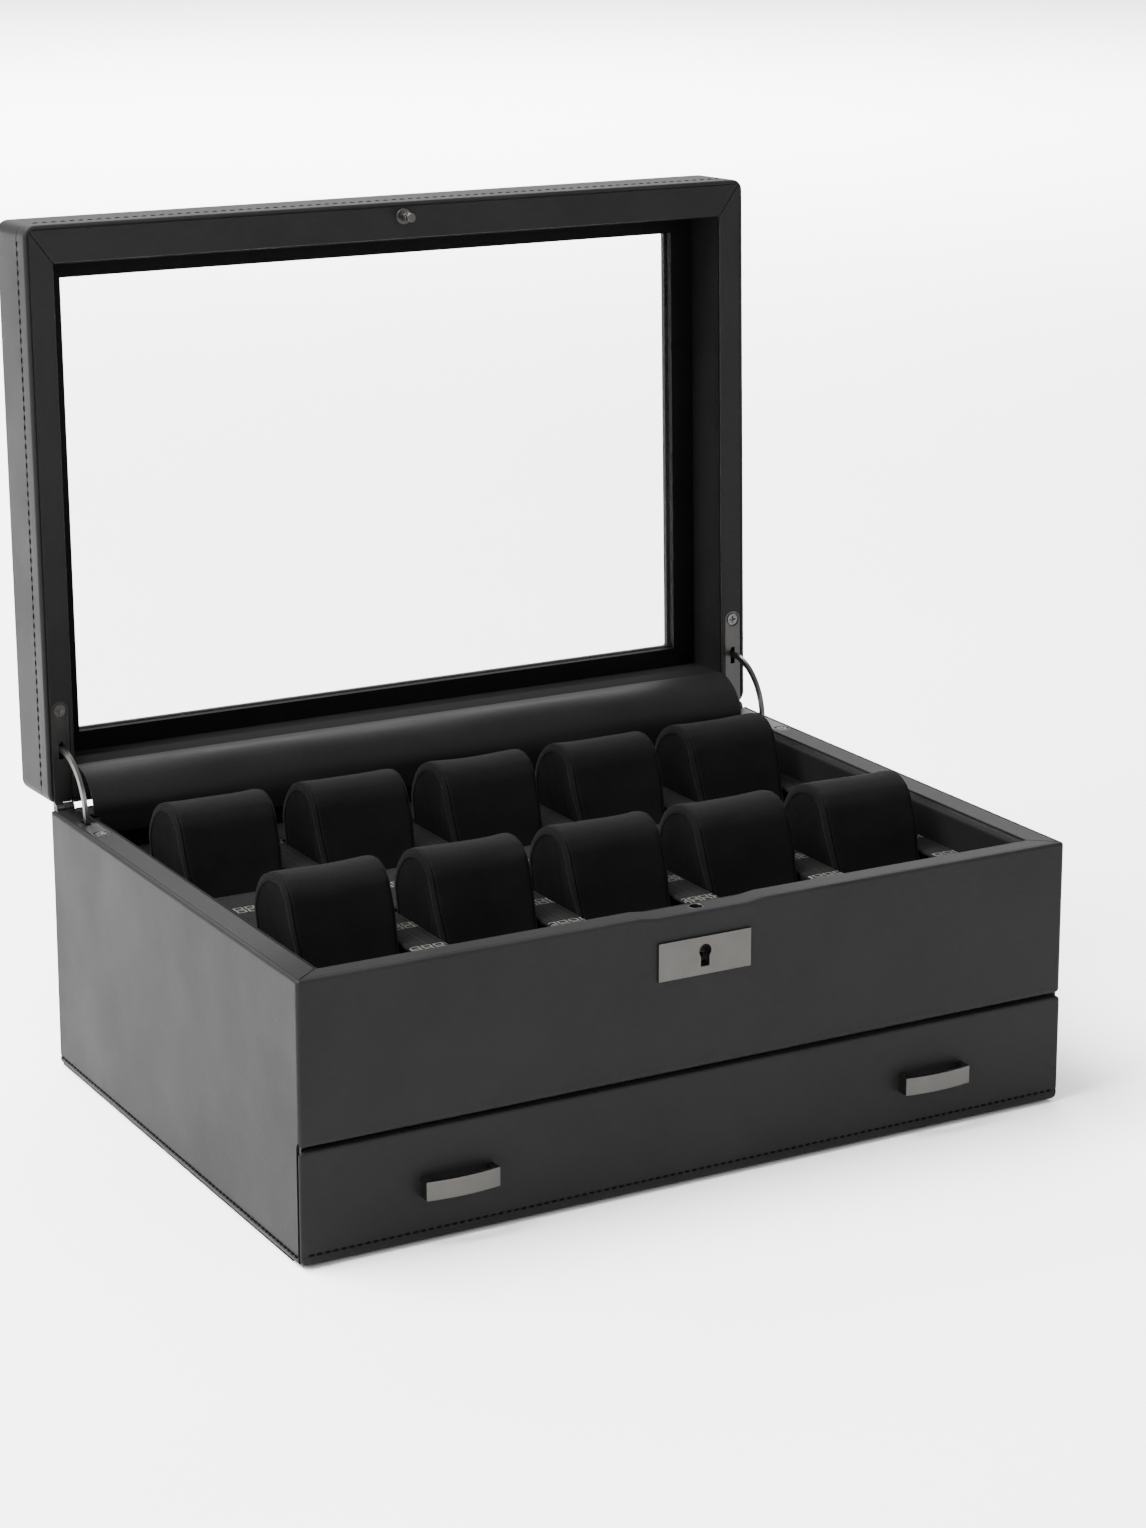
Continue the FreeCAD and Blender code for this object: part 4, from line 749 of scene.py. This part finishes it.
def spine_flap():
    """Leather strip from the case's rear lining to the lid, bulging about the hinge."""
    section = [(106.6, z) for z in (104.2, 107, 109, 111)]
    section += [(123.5 - 16.9 * math.cos(math.radians(a)),
                 112.75 + 16.9 * math.sin(math.radians(a)))
                for a in [91.6 * k / 14 for k in range(15)]]
    for z in (113.8, 115.0):
        place = opened((0, 106.6, z))
        section.append((place.y, place.z))
    widths = [-1 + k / 12 for k in range(25)]
    points, faces = [], []
    thick = 0.35
    count = len(section)
    for sign in (-1, 1):
        for x in widths:
            for k, (y, z) in enumerate(section):
                before, after = section[max(0, k - 1)], section[min(count - 1, k + 1)]
                ty, tz = after[0] - before[0], after[1] - before[1]
                size = math.hypot(ty, tz)
                ny, nz = -tz / size, ty / size
                half = 155.8 if k < 3 else 156.3 if k == 3 else 159.4
                wave = 0.3 * math.sin(x * 7.1 + k * 0.3) if 4 < k < 17 else 0.0
                out = sign * thick + wave
                points.append((x * half, y + ny * out, z + nz * out))
    half = len(widths) * count
    for i in range(len(widths) - 1):
        for k in range(count - 1):
            a = i * count + k
            faces.append((a, a + 1, a + 1 + count, a + count))
            faces.append((half + a, half + a + count, half + a + 1 + count, half + a + 1))
    for i in range(len(widths) - 1):
        for k in (0, count - 1):
            a = i * count + k
            faces.append((a, a + count, half + a + count, half + a))
    for k in range(count - 1):
        for a in (k, (len(widths) - 1) * count + k):
            faces.append((a, a + 1, half + a + 1, half + a))
    obj = make("spine_strip", points, faces, STRAP, None)
    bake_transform(obj)
    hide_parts("spine_flap")
    return obj


spine_flap()


# ---------------------------------------------------------------------- drawer

def drawer_leather():
    """Leather on the drawer front, rounded at its edges, with a sewn groove."""
    low, high = 1.5, 46.3

    def round_off(radius, height):
        short = radius - min(radius, height)
        return radius - math.sqrt(max(0.0, radius * radius - short * short))

    steps = (0.02, 0.12, 0.35, 0.7, 1.1, 1.7, 2.6)
    levels = [(low + up, 0.0) for up in steps]
    levels += [(4.9, 0.0), (5.3, 0.25), (5.75, 0.25), (6.2, 0.0), (25.0, 0.0)]
    levels += [(high - up, 0.0) for up in reversed(steps)]
    rings = []
    for z, groove in levels:
        # Front corners are rounded in plan, the back stays flat on the board.
        height = min(z - low, high - z)
        x = OUT_X - round_off(2.6 if z < 20 else 1.8, height)
        y = -OUT_Y + min(1.0, round_off(1.1, height)) + groove
        r = max(0.05, 0.95 - (y + OUT_Y - groove))
        back = -120.82
        ring = [(-x, back, z)]
        ring += [(-x + r + p, min(back - 0.02, y + r + q), z) for p, q in arc(r, 180, 270, 4)]
        ring += [(px, y, z) for px in (-100, 0, 100)]
        ring += [(x - r + p, min(back - 0.02, y + r + q), z) for p, q in arc(r, 270, 360, 4)]
        ring += [(x, back, z)]
        rings.append(ring)
    points, faces = bridge(rings, closed=False)
    size = len(rings[0])
    faces.append(tuple(range(size)))
    faces.append(tuple(range(len(points) - 1, len(points) - size - 1, -1)))
    return make("drawer_front_skin", points, faces, LEATHER, "drawer",
                ("drawer_front_leather",))


weigh(drawer_leather())


# -------------------------------------------------------------------- stitches

def stitches(name, runs, body, turn=False, radius=0.56):
    """Rows of short threads; each run is (start, end, outward, pitch, dash)."""
    points, faces = [], []
    for start, end, out, pitch, dash in runs:
        start, end, out = Vector(start), Vector(end), Vector(out).normalized()
        along = (end - start).normalized()
        side = along.cross(out)
        count = int((end - start).length // pitch)
        spare = ((end - start).length - (count - 1) * pitch) / 2
        for number in range(count):
            centre = start + along * (spare + number * pitch)
            base = len(points)
            stations = ((-0.5, 0.35, -0.28), (-0.36, 0.85, 0.02), (-0.12, 1.0, 0.12),
                        (0.12, 1.0, 0.12), (0.36, 0.85, 0.02), (0.5, 0.35, -0.28))
            for t, width, lift in stations:
                for k in range(6):
                    angle = math.tau * k / 6
                    points.append(
                        centre + along * (t * dash)
                        + side * (math.cos(angle) * radius * width)
                        + out * (math.sin(angle) * radius * width * 0.8 + lift))
            for s in range(len(stations) - 1):
                for k in range(6):
                    a, b = base + s * 6, base + s * 6 + 6
                    faces.append((a + k, a + (k + 1) % 6, b + (k + 1) % 6, b + k))
            faces.append(tuple(base + k for k in range(5, -1, -1)))
            faces.append(tuple(base + (len(stations) - 1) * 6 + k for k in range(6)))
    return make(name, points, faces, THREAD, body, turn=turn, sharp=60)


stitches("case_stitches", [
    ((-X_SEW, -118.5, 4), (-X_SEW, 119.5, 4), (-1, 0, 0), 3.3, 2.4),
    ((X_SEW, -118.5, 4), (X_SEW, 119.5, 4), (1, 0, 0), 3.3, 2.4),
    ((-170, Y_SEW, 4), (170, Y_SEW, 4), (0, 1, 0), 3.3, 2.4)], "base")
stitches("drawer_stitches", [
    ((-170, -Y_SEW, 5.5), (170, -Y_SEW, 5.5), (0, -1, 0), 3.3, 2.4)], "drawer")
stitches("lid_stitches", [
    ((-X_SEW, -116.5, 121.5), (-X_SEW, 116.5, 121.5), (-1, 0, 0), 4.0, 2.8),
    ((X_SEW, -116.5, 121.5), (X_SEW, 116.5, 121.5), (1, 0, 0), 4.0, 2.8),
    ((-167, -Y_SEW, 121.5), (167, -Y_SEW, 121.5), (0, -1, 0), 4.0, 2.8),
    ((-167, Y_SEW, 121.5), (167, Y_SEW, 121.5), (0, 1, 0), 4.0, 2.8)], "lid", turn=True)


# -------------------------------------------------------------------- cushions

def cushion_outline():
    """(y, z) outline of a cushion's side about its own centre line."""
    low, half = 54.8, 28.5
    rear, rear_round = Vector((7.5, 104.5)), 21.0
    crown, crown_round = Vector((7.5, 112.5)), 13.0
    away = Vector((-half, low)) - crown
    touch = math.atan2(away.y, away.x) - math.acos(crown_round / away.length) + math.tau
    front = crown + crown_round * Vector((math.cos(touch), math.sin(touch)))
    fillet = 4.0
    outline = []
    for k in range(12):
        outline.append(Vector((-half + fillet + (57 - 2 * fillet) * k / 11, low)))
    outline.append(Vector((half - 1.2, low + 1.2)))
    for k in range(10):
        outline.append(Vector((half, low + fillet + (rear.y - low - fillet) * k / 10)))
    for k in range(16):
        angle = math.pi / 2 * k / 16
        outline.append(rear + rear_round * Vector((math.cos(angle), math.sin(angle))))
    for k in range(10):
        angle = math.pi / 2 + (touch - math.pi / 2) * k / 10
        outline.append(crown + crown_round * Vector((math.cos(angle), math.sin(angle))))
    foot = Vector((-half + 0.6, low + fillet))
    for k in range(16):
        outline.append(front.lerp(foot, k / 15))
    outline.append(Vector((-half + 1.0, low + 1.2)))
    return outline


def cushion(name, x0, y0, seed):
    outline = cushion_outline()
    count = len(outline)
    normals = []
    for k in range(count):
        along = outline[(k + 1) % count] - outline[k - 1]
        normals.append(Vector((along.y, -along.x)).normalized())
    centre = Vector((1.0, 88.0))
    # (across, inset from the outline, share of the way to the middle)
    stations = [(20.2, 0, 0.96), (20.25, 0, 0.75), (20.35, 0, 0.55), (20.45, 0, 0.36),
                (20.6, 0, 0.24), (20.75, 5.0, 0.03), (20.8, 3.4, 0), (20.85, 2.4, 0),
                (20.85, 1.6, 0), (20.75, 1.0, 0), (20.5, 0.5, 0), (20.2, 0.25, 0),
                (19.95, 0.25, 0), (19.75, 0.4, 0), (19.5, 0.65, 0), (19.25, 0.3, 0),
                (18.9, 0.05, 0), (17.5, 0.05, 0), (14, 0.25, 0), (9, 0.42, 0), (4, 0.5, 0)]
    rings, marks = [], []
    order = [(s, -1) for s in stations] + [((0.0, 0.52, 0), -1)] + [
        (s, 1) for s in reversed(stations)]
    for (across, inset, inward), side in order:
        ring = []
        for k, (point, normal) in enumerate(zip(outline, normals)):
            flat = point - normal * inset
            if inward:
                flat = point.lerp(centre, inward)
            run = k / count
            pucker = 0.0
            if abs(across - 19.25) < 3:
                fade = max(0.0, 1 - abs(across - 19.5) / 2.6)
                pucker = 0.13 * fade * math.sin(math.tau * run * 46 + seed * 1.7 + side)
            place = Vector((side * across * 0.05, flat.x * 0.05 + seed, flat.y * 0.05))
            swell = noise.noise(place) * 0.55
            fine = noise.noise(place * 4.5) * 0.18
            top = min(1.0, max(0.0, (flat.y - 60) / 30))
            free = min(1.0, max(0.0, (flat.y - 95) / 12))
            push = (swell + fine) * top - pucker + 0.9 * free
            plump = 1.25 * free
            if abs(across) > 20.3:
                # Side face: pushes across instead.
                ring.append((x0 + side * (across + 0.5 * swell * top + fine + plump),
                             y0 + flat.x, flat.y))
            else:
                out = flat + normal * push
                ring.append((x0 + side * (across + plump * min(1, across / 15)),
                             y0 + out.x, out.y))
        rings.append(ring)
        marks.append(abs(across - 19.5) < 0.3 and inset > 0.4)
    points, faces = bridge(rings, closed=False)
    faces.append(tuple(range(count - 1, -1, -1)))
    faces.append(tuple(range(len(points) - count, len(points))))
    obj = make(f"{name}_suede", points, faces, SUEDE, name, (name,), sharp=180)
    obj.data.materials.append(THREAD)
    obj.data.materials.append(SUEDE_PAINTED_SHADE)
    groove = [i for i in range(len(marks) - 1) if marks[i] or marks[i + 1]]
    for polygon in obj.data.polygons:
        strip = min(polygon.index // count, len(rings) - 2 - polygon.index // count)
        # The cushions' ends and side faces take the darker suede copy: painted shade.
        if polygon.index >= len(faces) - 2 or strip < 6:
            polygon.material_index = 2
        elif polygon.index // count in groove:
            polygon.material_index = 1
    modifier = obj.modifiers.new("smooth", "SUBSURF")
    modifier.levels = 1
    bake(obj)
    for polygon in obj.data.polygons:
        polygon.use_smooth = True
    return obj


for row, y in (("front", -49), ("rear", 57)):
    for number, x in enumerate(WELLS_X, start=1):
        cushion(f"cushion_{row}_{number}", x, y, number * 3.1 + (20 if row == "rear" else 0))


# ---------------------------------------------------------------------- metals

refine("escutcheon", "base", GUNMETAL, 0.3)
for side, sign in (("left", -1), ("right", 1)):
    refine(f"handle_{side}", "drawer", GUNMETAL, 0.3)
    # A shadow ring round each countersunk head.
    ring = [(sign * LEAF_X + x, SCREW_Y + y) for x, y in arc(3.35, 0, 345, 23)]
    for body, turn, low, high in (("base", False, 112.0, 113.0), ("lid", True, 112.5, 113.5)):
        cutter = prism(f"cut_ring_{body}_{side}", ring, low, high, turn=turn)
        carve(refine(f"hinge_leaf_{body}_{side}", body, LEAF, 0.3), [cutter])
        bpy.data.objects.remove(cutter)
    refine(f"stay_arm_{side}", f"stay_{side}", BRIGHT, 0.3)
refine("base_hinge_screws", "base", BRIGHT, 0.15, 1)
refine("lid_hinge_screws", "lid", BRIGHT, 0.15, 1)
refine("catch_stud", "lid", NICKEL, 0.2)
refine("stud_washer", "lid", NICKEL, 0.15)
refine("latch_bush", "base", NICKEL, 0.2)

# Pieces shown as the CAD has them.
PLAIN = {
    "base_felt": FELT, "bottom_board": BOARD, "left_side_panel": BOARD,
    "right_side_panel": BOARD, "back_panel": BOARD, "front_fascia_board": BOARD,
    "shelf_board": LINING, "tray_rails": BOARD, "tray_dividers": LINING, "hinge_pins": STEEL_PAINTED_SHADE,
    "lock_case": STEEL_PAINTED_SHADE, "lid_left_rail": BOARD, "lid_right_rail": BOARD,
    "lid_front_rail": BOARD, "lid_rear_rail": BOARD, "glass_pane": GLASS, "glass_bead": BEAD,
    "drawer_front_board": BOARD, "drawer_sides": LINING, "drawer_back": LINING,
    "drawer_bottom": BOARD, "drawer_lining": FELT, "handle_screws": STEEL_PAINTED_SHADE,
    # The tumbler's near-black steel is painted shade seen through the keyhole.
    "lock_tumbler": STEEL_PAINTED_SHADE, "lock_bolt": STEEL_PAINTED_SHADE,
}
for node, mat in PLAIN.items():
    NODES[node].data.materials.clear()
    NODES[node].data.materials.append(mat)

for cutter in base_cutters + lid_cutters + [latch_cutter, keyhole_cutter, stud_cutter]:
    bpy.data.objects.remove(cutter)


# ----------------------------------------------------------------- floor, light

def stage_floor():
    mesh = bpy.data.meshes.new("floor")
    mesh.from_pydata([(-30, -30, 0), (30, -30, 0), (30, 30, 0), (-30, 30, 0)], [], [(0, 1, 2, 3)])
    floor = bpy.data.objects.new("floor", mesh)
    bpy.context.collection.objects.link(floor)
    mat, tree, shader = tree_of("floor_white")
    tone = noise_of(tree, coords(tree), 3, 2)
    tree.links.new(
        blend_colour(tree, spread(tree, tone, 0, 1), (0.9, 0.9, 0.9), (0.92, 0.92, 0.92)),
        shader.inputs["Base Color"])
    shader.inputs["Roughness"].default_value = 0.9
    shader.inputs["Specular IOR Level"].default_value = 0.0
    mesh.materials.append(mat)


def area_light(name, place, target, width, height, power, colour=(1, 1, 1)):
    light = bpy.data.lights.new(name, "AREA")
    light.shape = "RECTANGLE"
    light.size, light.size_y = width, height
    light.energy = power
    light.color = colour
    obj = bpy.data.objects.new(name, light)
    obj.location = place
    obj.rotation_euler = (Vector(target) - Vector(place)).to_track_quat("-Z", "Y").to_euler()
    bpy.context.collection.objects.link(obj)


stage_floor()
area_light("key", (-2.7, -0.1, 1.5), (0, 0, 0.05), 1.8, 1.6, 125)
area_light("top", (-1.0, 0.4, 2.3), (0.2, 0, 0), 1.8, 1.6, 330)
area_light("backdrop", (1.5, 3.6, 3.2), (1.8, 5.2, 0), 4.0, 2.0, 1300)
area_light("front", (0.9, -2.6, 1.6), (0, 0, 0.05), 1.2, 1.0, 30)

world = bpy.data.worlds.new("studio")
bpy.context.scene.world = world
world.use_nodes = True
background = world.node_tree.nodes["Background"]
background.inputs["Color"].default_value = (1, 1, 1, 1)
background.inputs["Strength"].default_value = 0.9

camera_data = bpy.data.cameras.new("camera")
camera_data.sensor_width = 36
camera_data.lens = 81.93
camera_data.shift_y = -0.1204
camera = bpy.data.objects.new("camera", camera_data)
camera.location = (-0.66877, -1.20777, 0.53675)
camera.rotation_euler = (math.radians(90 - 13.03), 0, math.radians(-29.36))
bpy.context.collection.objects.link(camera)
bpy.context.scene.camera = camera
